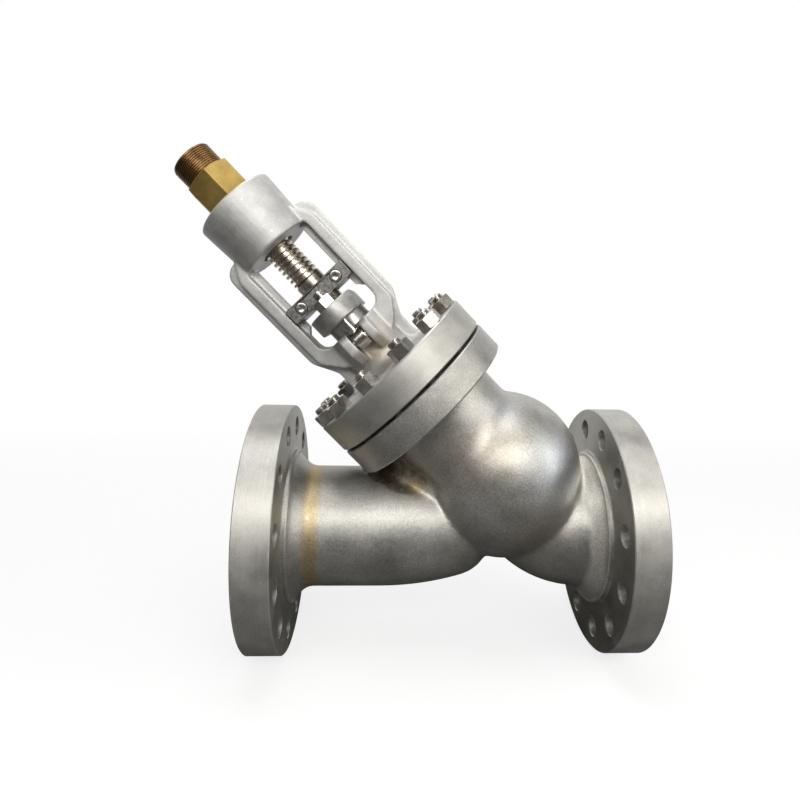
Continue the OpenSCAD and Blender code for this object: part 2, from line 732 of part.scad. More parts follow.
module housing_race(bottom) {
    race(bottom, head_bore_d / 2, race_r + 1);
}

module shaft_race(bottom) {
    race(bottom, nut_collar_d / 2 - 1, journal_r + seated_fit);
}

// Cage with its balls, drawn from the middle of a bearing
module ball_cage(middle) {
    cage_h = (bearing_h - 2 * race_t) / 2;
    color("lightslategray") on_stem() translate([0, 0, middle]) {
        difference() {
            ring(nut_collar_d / 2 - 1.5, race_r + 0.5, -cage_h / 2, cage_h);
            round_the_balls() translate([0, 0, -cage_h]) cylinder(r = ball_r + 0.3, h = 2 * cage_h);
        }
        round_the_balls() sphere(r = ball_r, $fn = 48);
    }
}

module round_the_balls() {
    for (i = [0:ball_count - 1]) rotate([0, 0, i * 360 / ball_count])
        translate([ball_circle_r, 0, 0]) children();
}

// Screwed ring that closes the yoke head round the hexagon
module bearing_retainer() {
    color("gray") on_stem() difference() {
        ring(head_bore_d / 2, drive_corner_r + running_fit, retainer_bottom, head_top - retainer_bottom);
        for (side = [0, 180]) rotate([0, 0, side + 90])
            translate([(drive_corner_r + head_bore_d / 2) / 2, 0, head_top - 8]) cylinder(d = 5, h = 9);
    }
}

body();
seat_ring();
disc();
disc_nut();
split_ring();
stem();
bonnet();
bonnet_gasket();
bonnet_studs();
bonnet_nuts();
backseat_bush();
packing_ring(1);  // packing_ring_1
packing_ring(2);  // packing_ring_2
packing_ring(3);  // packing_ring_3
packing_ring(4);  // packing_ring_4
packing_ring(5);  // packing_ring_5
gland();
gland_flange();
eyebolt(-1);  // eyebolt_front
eyebolt(1);  // eyebolt_rear
eyebolt_pin(-1);  // eyebolt_pin_front
eyebolt_pin(1);  // eyebolt_pin_rear
eyebolt_nut(-1);  // eyebolt_nut_front
eyebolt_nut(1);  // eyebolt_nut_rear
color("dimgray") guide_clamp(-1);  // guide_clamp_front
color("dimgray") guide_clamp(1);  // guide_clamp_rear
guide_screws();
stem_nut();
housing_race(nut_floor);  // lower_housing_race
ball_cage(nut_floor + bearing_h / 2);  // lower_ball_cage
shaft_race(nut_collar_bottom - race_t);  // lower_shaft_race
shaft_race(nut_collar_top);  // upper_shaft_race
ball_cage(nut_collar_top + bearing_h / 2);  // upper_ball_cage
housing_race(retainer_bottom - race_t);  // upper_housing_race
bearing_retainer();
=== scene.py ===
import json
import math

import bmesh
import bpy
from mathutils import Matrix, Vector


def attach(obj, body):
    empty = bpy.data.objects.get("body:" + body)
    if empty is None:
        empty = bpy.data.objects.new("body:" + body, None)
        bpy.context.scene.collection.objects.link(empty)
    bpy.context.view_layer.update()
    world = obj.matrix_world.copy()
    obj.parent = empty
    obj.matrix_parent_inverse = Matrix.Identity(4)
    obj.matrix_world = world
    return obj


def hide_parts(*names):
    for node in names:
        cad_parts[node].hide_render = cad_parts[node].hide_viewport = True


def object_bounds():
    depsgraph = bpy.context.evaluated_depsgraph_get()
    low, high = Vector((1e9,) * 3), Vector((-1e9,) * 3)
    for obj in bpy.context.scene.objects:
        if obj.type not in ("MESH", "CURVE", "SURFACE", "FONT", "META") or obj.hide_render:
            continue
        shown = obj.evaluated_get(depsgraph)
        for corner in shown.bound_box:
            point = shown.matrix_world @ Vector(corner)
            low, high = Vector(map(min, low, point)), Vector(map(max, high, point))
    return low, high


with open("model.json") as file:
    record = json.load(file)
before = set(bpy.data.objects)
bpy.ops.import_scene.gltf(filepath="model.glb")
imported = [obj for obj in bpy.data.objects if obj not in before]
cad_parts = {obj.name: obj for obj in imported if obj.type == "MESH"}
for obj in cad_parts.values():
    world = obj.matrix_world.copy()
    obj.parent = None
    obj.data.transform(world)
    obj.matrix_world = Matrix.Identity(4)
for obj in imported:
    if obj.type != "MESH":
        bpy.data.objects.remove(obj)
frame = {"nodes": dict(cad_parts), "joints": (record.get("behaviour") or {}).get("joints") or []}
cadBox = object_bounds()


# Lines that the pieces are turned on: local Z is the axis, all in metres

nutJoint = next(joint for joint in frame["joints"] if joint["name"] == "stem_nut_turn")
stemUp = Vector(nutJoint["axis"]).normalized()
stemAcross = Vector((0, 1, 0)).cross(stemUp)
stemFoot = Vector(nutJoint["pos_m"])
stemLine = Matrix.Translation(stemFoot) @ Matrix((stemAcross, (0, 1, 0), stemUp)).transposed().to_4x4()
outletLine = Matrix(((0, 0, 1), (0, 1, 0), (-1, 0, 0))).to_4x4()
inletLine = Matrix.Translation((0.559, 0, 0)) @ Matrix(((0, 0, -1), (0, 1, 0), (1, 0, 0))).to_4x4()
neckOffset = 0.004
neckRadius = 0.0905
neckLine = stemLine @ Matrix.Translation((neckOffset, 0, 0))
acrossStem = Matrix(((0, 0, 1), (1, 0, 0), (0, 1, 0))).to_4x4()  # local Z along the across direction


# Meshes

rimSteps = 192
over = 0.001  # how far a cut runs past the face that it opens


def meshFrom(bm, line=None):
    bmesh.ops.recalc_face_normals(bm, faces=bm.faces)
    mesh = bpy.data.meshes.new("work")
    bm.to_mesh(mesh)
    bm.free()
    if line is not None:
        mesh.transform(line)
    return mesh


def turned(profile, line=None, steps=128, bored=True):
    # turns (radius, height) points round Z; a profile that isn't bored starts and ends on the axis
    bm = bmesh.new()
    rings = []
    for radius, height in profile:
        if radius < 1e-7:
            rings.append([bm.verts.new((0, 0, height))])
        else:
            angles = [2 * math.pi * step / steps for step in range(steps)]
            rings.append([bm.verts.new((radius * math.cos(angle), radius * math.sin(angle), height))
                          for angle in angles])
    pairs = list(zip(rings, rings[1:]))
    if bored:
        pairs.append((rings[-1], rings[0]))
    for lower, upper in pairs:
        for step in range(steps):
            after = (step + 1) % steps
            corners = [lower[step % len(lower)], lower[after % len(lower)],
                       upper[after % len(upper)], upper[step % len(upper)]]
            unique = [v for i, v in enumerate(corners) if v not in corners[:i]]
            if len(unique) > 2:
                bm.faces.new(unique)
    return meshFrom(bm, line)


def plug(radius, bottom, top, line=None, steps=96):
    return turned([(0, bottom), (radius, bottom), (radius, top), (0, top)], line, steps, False)


def ringBlock(inner, outer, bottom, top, line=None):
    return turned([(inner, bottom), (outer, bottom), (outer, top), (inner, top)], line)


def slab(outline, low, high, line=None):
    # an outline in X and Z, thick along Y
    bm = bmesh.new()
    near = [bm.verts.new((x, low, z)) for x, z in outline]
    far = [bm.verts.new((x, high, z)) for x, z in outline]
    bm.faces.new(near)
    bm.faces.new(far)
    for index in range(len(outline)):
        after = (index + 1) % len(outline)
        bm.faces.new([near[index], near[after], far[after], far[index]])
    return meshFrom(bm, line)


def looseObject(mesh, name="work"):
    thing = bpy.data.objects.new(name, mesh)
    bpy.context.scene.collection.objects.link(thing)
    return thing


def bakedMesh(thing):
    # the evaluated mesh of a loose object, whose modifiers go with it
    bpy.context.view_layer.update()
    depsgraph = bpy.context.evaluated_depsgraph_get()
    mesh = bpy.data.meshes.new_from_object(thing.evaluated_get(depsgraph), depsgraph=depsgraph)
    bpy.data.objects.remove(thing)
    return mesh


def carve(mesh, other, operation="DIFFERENCE"):
    thing = looseObject(mesh)
    helper = looseObject(other, "helper")
    modifier = thing.modifiers.new("carve", "BOOLEAN")
    modifier.operation = operation
    modifier.solver = "MANIFOLD"
    modifier.object = helper
    result = bakedMesh(thing)
    bpy.data.objects.remove(helper)
    return result


def joined(*meshes):
    bm = bmesh.new()
    for mesh in meshes:
        bm.from_mesh(mesh)
    return meshFrom(bm)


def cadCopy(nodeName):
    # a merged copy of a CAD node; the node itself isn't changed
    bm = bmesh.new()
    bm.from_mesh(frame["nodes"][nodeName].data)
    bmesh.ops.remove_doubles(bm, verts=bm.verts, dist=1e-5)
    mesh = meshFrom(bm)
    if "custom_normal" in mesh.attributes:
        mesh.attributes.remove(mesh.attributes["custom_normal"])
    return mesh


def softened(mesh, voxel, rounds, kept=1.0):
    # the soft corners and small unevenness that a sand mould or a forging leaves
    thing = looseObject(mesh)
    remesh = thing.modifiers.new("voxels", "REMESH")
    remesh.mode = "VOXEL"
    remesh.voxel_size = voxel
    smooth = thing.modifiers.new("soften", "SMOOTH")
    smooth.factor = 0.5
    smooth.iterations = rounds
    if kept < 1:
        thin = thing.modifiers.new("thin", "DECIMATE")
        thin.ratio = kept
    return bakedMesh(thing)


def bevelled(mesh, width, edgeSlot=-1, steps=2):
    thing = looseObject(mesh)
    bevel = thing.modifiers.new("edges", "BEVEL")
    bevel.width = width
    bevel.segments = steps
    bevel.limit_method = "ANGLE"
    bevel.angle_limit = math.radians(35)
    bevel.material = edgeSlot
    return bakedMesh(thing)


def openEdges(mesh):
    bm = bmesh.new()
    bm.from_mesh(mesh)
    count = sum(not edge.is_manifold for edge in bm.edges)
    bm.free()
    return count


def paintFaces(mesh, line, rule, mark=1):
    # faces whose middle and normal, seen along a line, fit the rule take another finish
    back = line.inverted()
    turn = back.to_3x3()
    for face in mesh.polygons:
        if rule(back @ face.center, turn @ face.normal):
            face.material_index = mark


def makePiece(name, mesh, body, finishes, replaced=(), sharp=32):
    piece = bpy.data.objects.new(name, mesh)
    bpy.context.scene.collection.objects.link(piece)
    mesh.name = name
    marks = [face.material_index for face in mesh.polygons]
    mesh.materials.clear()
    for finish in finishes:
        mesh.materials.append(finish)
    mesh.polygons.foreach_set("material_index", [min(mark, len(finishes) - 1) for mark in marks])
    mesh.shade_smooth()
    mesh.set_sharp_from_angle(angle=math.radians(sharp))
    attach(piece, body)
    if replaced:
        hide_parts(*replaced)
    print(f"{name}: {len(mesh.polygons)} faces, {openEdges(mesh)} open edges")
    return piece


# Node trees

def addNode(tree, kind, values=None, **settings):
    made = tree.nodes.new(kind)
    for key, value in settings.items():
        setattr(made, key, value)
    for key, value in (values or {}).items():
        if isinstance(value, bpy.types.NodeSocket):
            tree.links.new(value, made.inputs[key])
        else:
            made.inputs[key].default_value = value
    return made


def newTree(name, inputs):
    tree = bpy.data.node_groups.new(name, "GeometryNodeTree")
    tree.interface.new_socket("Geometry", in_out="INPUT", socket_type="NodeSocketGeometry")
    for label, kind in inputs:
        tree.interface.new_socket(label, in_out="INPUT", socket_type="NodeSocket" + kind)
    tree.interface.new_socket("Geometry", in_out="OUTPUT", socket_type="NodeSocketGeometry")
    return tree, addNode(tree, "NodeGroupInput").outputs, addNode(tree, "NodeGroupOutput")


def finishTree(tree, geometry, get, end):
    real = addNode(tree, "GeometryNodeRealizeInstances", {"Geometry": geometry})
    painted = addNode(tree, "GeometryNodeSetMaterial",
                      {"Geometry": real.outputs[0], "Material": get["Material"]})
    tree.links.new(painted.outputs[0], end.inputs[0])
    return tree


def reckon(tree, operation, first, second=0.0):
    return addNode(tree, "ShaderNodeMath", {0: first, 1: second}, operation=operation).outputs[0]


def ringOfCopiesTree():
    # copies of the incoming piece round Z, each facing outwards with a small turn of its own
    sockets = [("Count", "Int"), ("Radius", "Float"), ("Phase", "Float"), ("Spread", "Float"),
               ("Seed", "Int"), ("Material", "Material")]
    tree, get, end = newTree("ringOfCopies", sockets)
    circle = addNode(tree, "GeometryNodeMeshCircle", {"Vertices": get["Count"], "Radius": get["Radius"]})
    index = addNode(tree, "GeometryNodeInputIndex").outputs[0]
    step = reckon(tree, "DIVIDE", 2 * math.pi, get["Count"])
    facing = reckon(tree, "MULTIPLY", index, step)
    chance = addNode(tree, "FunctionNodeRandomValue", {2: -1.0, 3: 1.0, 8: get["Seed"]}, data_type="FLOAT")
    ownTurn = reckon(tree, "MULTIPLY", chance.outputs[1], get["Spread"])
    turn = addNode(tree, "ShaderNodeCombineXYZ", {"Z": reckon(tree, "ADD", facing, ownTurn)})
    copies = addNode(tree, "GeometryNodeInstanceOnPoints",
                     {"Points": circle.outputs[0], "Instance": get["Geometry"], "Rotation": turn.outputs[0]})
    phase = addNode(tree, "ShaderNodeCombineXYZ", {"Z": get["Phase"]})
    whole = addNode(tree, "GeometryNodeTransform",
                    {"Geometry": copies.outputs[0], "Rotation": phase.outputs[0]})
    return finishTree(tree, whole.outputs[0], get, end)


def threadTree():
    # sweeps one tooth along a helix that climbs Z from the origin
    sockets = [("Turns", "Float"), ("Pitch", "Float"), ("Root Radius", "Float"), ("Crest Radius", "Float"),
               ("Root Width", "Float"), ("Crest Width", "Float"), ("Steps Per Turn", "Int"),
               ("Left Hand", "Bool"), ("Material", "Material")]
    tree, get, end = newTree("thread", sockets)
    line = addNode(tree, "GeometryNodeCurvePrimitiveLine")
    steps = reckon(tree, "MULTIPLY", get["Turns"], get["Steps Per Turn"])
    path = addNode(tree, "GeometryNodeResampleCurve", {"Curve": line.outputs[0], "Count": steps})
    along = addNode(tree, "GeometryNodeSplineParameter").outputs["Factor"]
    hand = addNode(tree, "GeometryNodeSwitch", {"Switch": get["Left Hand"], "False": 1.0, "True": -1.0},
                   input_type="FLOAT").outputs[0]
    turns = reckon(tree, "MULTIPLY", along, get["Turns"])
    angle = reckon(tree, "MULTIPLY", reckon(tree, "MULTIPLY", turns, 2 * math.pi), hand)
    place = addNode(tree, "ShaderNodeCombineXYZ",
                    {"X": reckon(tree, "MULTIPLY", reckon(tree, "COSINE", angle), get["Root Radius"]),
                     "Y": reckon(tree, "MULTIPLY", reckon(tree, "SINE", angle), get["Root Radius"]),
                     "Z": reckon(tree, "MULTIPLY", turns, get["Pitch"])})
    helix = addNode(tree, "GeometryNodeSetPosition",
                    {"Geometry": path.outputs[0], "Position": place.outputs[0]})
    upright = addNode(tree, "GeometryNodeSetCurveNormal", {"Curve": helix.outputs[0]}, mode="Z_UP")
    depth = reckon(tree, "MULTIPLY", reckon(tree, "SUBTRACT", get["Crest Radius"], get["Root Radius"]), hand)
    halfRoot = reckon(tree, "MULTIPLY", get["Root Width"], 0.5)
    halfCrest = reckon(tree, "MULTIPLY", get["Crest Width"], 0.5)
    lowRoot = reckon(tree, "MULTIPLY", halfRoot, -1.0)
    lowCrest = reckon(tree, "MULTIPLY", halfCrest, -1.0)
    corners = [(0.0, lowRoot), (depth, lowCrest), (depth, halfCrest), (0.0, halfRoot)]
    points = {f"Point {index + 1}": addNode(tree, "ShaderNodeCombineXYZ", {"X": x, "Y": y}).outputs[0]
              for index, (x, y) in enumerate(corners)}
    tooth = addNode(tree, "GeometryNodeCurvePrimitiveQuadrilateral", points, mode="POINTS")
    swept = addNode(tree, "GeometryNodeCurveToMesh",
                    {"Curve": upright.outputs[0], "Profile Curve": tooth.outputs[0], "Fill Caps": True})
    return finishTree(tree, swept.outputs[0], get, end)


copiesTree = ringOfCopiesTree()
helixTree = threadTree()


def runTree(tree, mesh, values, line=None):
    # inputs are set by socket identifier before the object is first evaluated
    thing = looseObject(mesh)
    modifier = thing.modifiers.new("nodes", "NODES")
    modifier.node_group = tree
    for item in tree.interface.items_tree:
        if item.in_out == "INPUT" and item.name in values:
            modifier[item.identifier] = values[item.name]
    bm = bmesh.new()
    bm.from_mesh(bakedMesh(thing))
    return meshFrom(bm, line)


def ringOf(mesh, count, radius, phase, line, spread=0.0, seed=0):
    return runTree(copiesTree, mesh, {"Count": count, "Radius": radius, "Phase": phase, "Spread": spread,
                                      "Seed": seed}, line)


def threadOn(size, line):
    # widths are shares of the pitch
    pitch = size["pitch"]
    values = {"Turns": (size["to"] - size["from"]) / pitch, "Pitch": pitch, "Root Radius": size["root"],
              "Crest Radius": size["crest"], "Root Width": size["rootWidth"] * pitch,
              "Crest Width": size["crestWidth"] * pitch, "Steps Per Turn": size["steps"],
              "Left Hand": size["leftHand"]}
    foot = Matrix.Translation((0, 0, size["from"]))
    return runTree(helixTree, bpy.data.meshes.new("empty"), values, line @ foot)


# Finishes

def newFinish(name, metallic, roughness):
    material = bpy.data.materials.new(name)
    material.use_nodes = True
    tree = material.node_tree
    shader = tree.nodes["Principled BSDF"]
    shader.inputs["Metallic"].default_value = metallic
    shader.inputs["Roughness"].default_value = roughness
    place = addNode(tree, "ShaderNodeTexCoord").outputs["Object"]
    return material, tree, shader, place


def noiseOf(tree, place, scale, detail=3.0, roughness=0.55):
    return addNode(tree, "ShaderNodeTexNoise", {"Vector": place, "Scale": scale, "Detail": detail,
                                                "Roughness": roughness}).outputs["Fac"]


def ranged(tree, value, low, high, toLow=0.0, toHigh=1.0):
    return addNode(tree, "ShaderNodeMapRange", {"Value": value, "From Min": low, "From Max": high,
                                                "To Min": toLow, "To Max": toHigh}).outputs[0]


def blended(tree, share, first, second, mode="MIX"):
    mix = addNode(tree, "ShaderNodeMix", {0: share}, data_type="RGBA", blend_type=mode)
    for key, value in ((6, first), (7, second)):
        if isinstance(value, bpy.types.NodeSocket):
            tree.links.new(value, mix.inputs[key])
        else:
            mix.inputs[key].default_value = (*value, 1)
    return mix.outputs[2]


def toned(tree, colour, tone):
    grey = addNode(tree, "ShaderNodeCombineColor", {0: tone, 1: tone, 2: tone}).outputs[0]
    return blended(tree, 1.0, colour, grey, "MULTIPLY")


def bumped(tree, height, depth, before=None):
    values = {"Height": height, "Distance": depth, "Strength": 1.0}
    if before is not None:
        values["Normal"] = before
    return addNode(tree, "ShaderNodeBump", values).outputs[0]


def seenFrom(tree, place, line):
    # X, Y and Z as they run on a line, and the distance from that line
    back = line.inverted()
    local = addNode(tree, "ShaderNodeMapping", {"Vector": place, "Location": back.to_translation(),
                                                "Rotation": back.to_euler()}).outputs[0]
    axes = addNode(tree, "ShaderNodeSeparateXYZ", {0: local}).outputs
    squares = [reckon(tree, "MULTIPLY", axes[index], axes[index]) for index in (0, 1)]
    return axes[2], reckon(tree, "SQRT", reckon(tree, "ADD", *squares))


def nearBall(tree, place, paintedPatch, wobble):
    # 1 inside a ball, 0 outside, with an uneven edge
    gap = addNode(tree, "ShaderNodeVectorMath", {0: place, 1: paintedPatch["centre"]},
                  operation="DISTANCE").outputs["Value"]
    uneven = reckon(tree, "ADD", gap, reckon(tree, "MULTIPLY", wobble, paintedPatch["fade"]))
    return ranged(tree, uneven, paintedPatch["reach"] + paintedPatch["fade"], paintedPatch["reach"])


def inBand(tree, value, band, wobble):
    uneven = reckon(tree, "ADD", value, reckon(tree, "MULTIPLY", wobble, band["fade"]))
    rise = ranged(tree, uneven, band["from"], band["from"] + band["fade"])
    fall = ranged(tree, uneven, band["to"] + band["fade"], band["to"])
    return reckon(tree, "MULTIPLY", rise, fall)


def blastedSteel(name, look, tintsAndPaintedLight=(), bands=()):
    # bead-blasted casting: cloudy tone, fine grain, shallow waves, a few bright nicks, and patches laid over
    # the colour, which are the metal's own tints and, on the body, also painted light
    material, tree, shader, place = newFinish(name, look["metallic"], look["rough"][0])
    cloud = noiseOf(tree, place, look["cloudScale"], 5.0, 0.6)
    grain = noiseOf(tree, place, look["grainScale"], 2.0, 0.7)
    wave = noiseOf(tree, place, look["waveScale"], 3.0, 0.5)
    wobble = reckon(tree, "SUBTRACT", noiseOf(tree, place, 45.0, 4.0, 0.65), 0.5)
    colour = blended(tree, ranged(tree, cloud, 0.32, 0.68), look["dark"], look["light"])
    for paintedPatch in tintsAndPaintedLight:
        patch = ranged(tree, noiseOf(tree, place, paintedPatch["patchScale"], 4.0, 0.6), 0.3, 0.7, 0.35, 1.0)
        share = reckon(tree, "MULTIPLY", nearBall(tree, place, paintedPatch, wobble), patch)
        if "offNeck" in paintedPatch:
            fromNeck = seenFrom(tree, place, neckLine)[1]
            clearOfNeck = ranged(tree, fromNeck, paintedPatch["offNeck"], paintedPatch["offNeck"] + 0.002)
            share = reckon(tree, "MULTIPLY", share, clearOfNeck)
        colour = blended(tree, reckon(tree, "MULTIPLY", share, paintedPatch["strength"]), colour, paintedPatch["colour"])
    along = addNode(tree, "ShaderNodeSeparateXYZ", {0: place}).outputs[0]
    for band in bands:
        share = reckon(tree, "MULTIPLY", inBand(tree, along, band, wobble), band["strength"])
        colour = blended(tree, share, colour, band["colour"])
    colour = toned(tree, colour, ranged(tree, grain, 0.3, 0.7, 1 - look["speckle"], 1 + look["speckle"]))
    gap = addNode(tree, "ShaderNodeTexVoronoi", {"Vector": place, "Scale": look["nickScale"]},
                  feature="F1").outputs["Distance"]
    nick = ranged(tree, reckon(tree, "ADD", gap, reckon(tree, "MULTIPLY", wobble, 0.35)), 0.05, 0.02)
    colour = blended(tree, reckon(tree, "MULTIPLY", nick, 0.4), colour, look["nick"])
    tree.links.new(colour, shader.inputs["Base Color"])
    blend = reckon(tree, "ADD", reckon(tree, "MULTIPLY", cloud, 0.6), reckon(tree, "MULTIPLY", grain, 0.4))
    tree.links.new(ranged(tree, blend, 0.3, 0.7, *look["rough"]), shader.inputs["Roughness"])
    normal = bumped(tree, wave, look["waveDepth"])
    tree.links.new(bumped(tree, grain, look["grainDepth"], normal), shader.inputs["Normal"])
    return material


def machinedSteelOn(name, look, line, alongAxis):
    # tool marks run round the axis: rings on a face, fine lines on a rim
    material, tree, shader, place = newFinish(name, look["metallic"], look["rough"][0])
    travel = seenFrom(tree, place, line)[0 if alongAxis else 1]
    cloud = noiseOf(tree, place, 22.0, 4.0, 0.6)
    grain = noiseOf(tree, place, look["grainScale"], 2.0, 0.7)
    mark = addNode(tree, "ShaderNodeCombineXYZ", {"X": reckon(tree, "MULTIPLY", travel, look["marks"]),
                                                  "Y": reckon(tree, "MULTIPLY", cloud, 3.0)})
    lines = noiseOf(tree, mark.outputs[0], 1.0, 2.0, 0.5)
    colour = blended(tree, ranged(tree, cloud, 0.3, 0.7), look["dark"], look["light"])
    colour = toned(tree, colour, ranged(tree, lines, 0.3, 0.7, 0.92, 1.06))
    colour = toned(tree, colour, ranged(tree, grain, 0.3, 0.7, 0.9, 1.1))
    tree.links.new(colour, shader.inputs["Base Color"])
    tree.links.new(ranged(tree, cloud, 0.3, 0.7, *look["rough"]), shader.inputs["Roughness"])
    normal = bumped(tree, lines, look["markDepth"])
    tree.links.new(bumped(tree, grain, look["grainDepth"], normal), shader.inputs["Normal"])
    return material


def plainMetal(name, metallic, rough, dark, light, clouds, grains, depth):
    # smaller pieces: cloudy tone, fine scratches or grain, uneven gloss
    material, tree, shader, place = newFinish(name, metallic, rough[0])
    cloud = noiseOf(tree, place, clouds, 4.0, 0.6)
    grain = noiseOf(tree, place, grains, 2.0, 0.6)
    colour = blended(tree, ranged(tree, cloud, 0.35, 0.65), dark, light)
    tree.links.new(colour, shader.inputs["Base Color"])
    blend = reckon(tree, "ADD", reckon(tree, "MULTIPLY", cloud, 0.5), reckon(tree, "MULTIPLY", grain, 0.5))
    tree.links.new(ranged(tree, blend, 0.3, 0.7, *rough), shader.inputs["Roughness"])
    tree.links.new(bumped(tree, grain, depth), shader.inputs["Normal"])
    return material


besideNeck = 0.0912
castLook = {"metallic": 0.92, "rough": (0.42, 0.55), "dark": (0.33, 0.322, 0.295),
            "light": (0.52, 0.508, 0.475), "cloudScale": 16.0, "grainScale": 480.0, "waveScale": 40.0,
            "speckle": 0.24, "grainDepth": 0.00014, "waveDepth": 0.0005, "nickScale": 22.0,
            "nick": (0.75, 0.74, 0.72)}
# patches laid over the body's colour: some are tints of the metal, and the ones marked below are painted
# light
castTintsAndPaintedLight = (
    # painted shadow: two dark brown balls where the flange's shadow falls on the top of the outlet leg, kept
    # off the neck
    {"centre": (0.222, -0.022, 0.088), "reach": 0.0395, "fade": 0.004, "patchScale": 90.0, "strength": 0.95,
     "colour": (0.13, 0.085, 0.04), "offNeck": besideNeck},
    {"centre": (0.19, -0.022, 0.086), "reach": 0.021, "fade": 0.004, "patchScale": 90.0, "strength": 0.9,
     "colour": (0.13, 0.085, 0.04), "offNeck": besideNeck},
    {"centre": (0.24, -0.053, 0.072), "reach": 0.01, "fade": 0.009, "patchScale": 60.0, "strength": 0.7,
     "colour": (0.3, 0.22, 0.09), "offNeck": besideNeck},
    # painted reflection: a pale bluish patch on the right of the neck
    {"centre": (0.345, -0.05, 0.165), "reach": 0.03, "fade": 0.03, "patchScale": 20.0, "strength": 0.6,
     "colour": (0.48, 0.5, 0.53)},
    {"centre": (0.30, -0.085, 0.125), "reach": 0.02, "fade": 0.05, "patchScale": 30.0, "strength": 0.5,
     "colour": (0.40, 0.31, 0.26)},
    {"centre": (0.40, -0.09, 0.02), "reach": 0.015, "fade": 0.04, "patchScale": 30.0, "strength": 0.45,
     "colour": (0.46, 0.33, 0.27)},
    # painted highlight: a warm pale patch on the upper left of the globe
    {"centre": (0.352, -0.095, 0.145), "reach": 0.015, "fade": 0.045, "patchScale": 25.0, "strength": 0.5,
     "colour": (0.64, 0.57, 0.42)},
    # painted reflection: a pale bluish patch on the right of the globe
    {"centre": (0.43, -0.095, 0.115), "reach": 0.025, "fade": 0.05, "patchScale": 22.0, "strength": 0.75,
     "colour": (0.51, 0.55, 0.61)},
    # painted shade: an olive-dark patch that darkens the bottom of the globe
    {"centre": (0.36, -0.06, -0.04), "reach": 0.05, "fade": 0.06, "patchScale": 14.0, "strength": 0.5,
     "colour": (0.27, 0.27, 0.22)})
castBands = (
    {"from": 0.075, "to": 0.096, "fade": 0.008, "strength": 0.72, "colour": (0.48, 0.36, 0.17)},
    {"from": 0.476, "to": 0.494, "fade": 0.006, "strength": 0.85, "colour": (0.84, 0.81, 0.74)})
yokeLook = {"metallic": 0.72, "rough": (0.48, 0.62), "dark": (0.44, 0.435, 0.42),
            "light": (0.6, 0.595, 0.575), "cloudScale": 30.0, "grainScale": 520.0, "waveScale": 90.0,
            "speckle": 0.12, "grainDepth": 0.00004, "waveDepth": 0.0003, "nickScale": 45.0,
            "nick": (0.8, 0.79, 0.76)}
yokeTints = (
    {"centre": (0.175, -0.05, 0.275), "reach": 0.01, "fade": 0.03, "patchScale": 50.0, "strength": 0.7,
     "colour": (0.46, 0.33, 0.17)},)
rimLook = {"metallic": 0.92, "rough": (0.44, 0.56), "dark": (0.42, 0.41, 0.375),
           "light": (0.58, 0.565, 0.53), "marks": 1500.0, "markDepth": 0.00001, "grainScale": 520.0,
           "grainDepth": 0.00013}
# painted shade: the flange backs take darker steel than the machined rims
backPaintedShadeLook = {"metallic": 0.92, "rough": (0.4, 0.52), "dark": (0.26, 0.255, 0.225),
            "light": (0.4, 0.39, 0.355), "marks": 900.0, "markDepth": 0.00006, "grainScale": 520.0,
            "grainDepth": 0.00008}
faceLook = {"metallic": 0.95, "rough": (0.28, 0.4), "dark": (0.5, 0.49, 0.47), "light": (0.62, 0.61, 0.59),
            "marks": 1250.0, "markDepth": 0.0002, "grainScale": 1500.0, "grainDepth": 0.00003}

castSteel = blastedSteel("castSteel", castLook, castTintsAndPaintedLight, castBands)
yokeSteel = blastedSteel("yokeSteel", yokeLook, yokeTints)
pipeRimSteel = machinedSteelOn("pipeRimSteel", rimLook, outletLine, True)
raisedFaceSteel = machinedSteelOn("raisedFaceSteel", faceLook, outletLine, False)
# the flange backs' steel is darkened as painted shade
flangeBackPaintedShade = machinedSteelOn("flangeBackPaintedShade", backPaintedShadeLook, outletLine, False)
jointRimSteel = machinedSteelOn("jointRimSteel", rimLook, stemLine, True)
machinedSteel = plainMetal("machinedSteel", 0.95, (0.26, 0.42), (0.46, 0.45, 0.43), (0.6, 0.59, 0.57),
                           clouds=60.0, grains=1400.0, depth=0.00004)
glandSteel = plainMetal("glandSteel", 0.9, (0.38, 0.52), (0.29, 0.285, 0.27), (0.45, 0.44, 0.42),
                        clouds=45.0, grains=1000.0, depth=0.00012)
boltingSteel = plainMetal("boltingSteel", 1.0, (0.2, 0.26), (0.38, 0.36, 0.32), (0.64, 0.61, 0.55),
                          clouds=70.0, grains=120.0, depth=0.00001)
stemSteel = plainMetal("stemSteel", 1.0, (0.2, 0.34), (0.34, 0.3, 0.23), (0.6, 0.54, 0.44),
                       clouds=50.0, grains=900.0, depth=0.00004)
guideSteel = plainMetal("guideSteel", 0.85, (0.34, 0.5), (0.13, 0.128, 0.12), (0.3, 0.29, 0.275),
                        clouds=260.0, grains=1200.0, depth=0.0001)
# painted shade: near-black steel for the stud shanks in the gap between the flanges
shadedSteel = plainMetal("shadedSteel", 0.4, (0.5, 0.7), (0.02, 0.018, 0.016), (0.05, 0.045, 0.04),
                         clouds=90.0, grains=1000.0, depth=0.00004)
wornEdge = plainMetal("wornEdge", 0.95, (0.3, 0.45), (0.3, 0.29, 0.28), (0.55, 0.54, 0.52),
                      clouds=300.0, grains=1200.0, depth=0.00005)
nutBrass = plainMetal("nutBrass", 1.0, (0.56, 0.66), (0.32, 0.215, 0.065), (0.46, 0.33, 0.11),
                      clouds=35.0, grains=700.0, depth=0.00005)
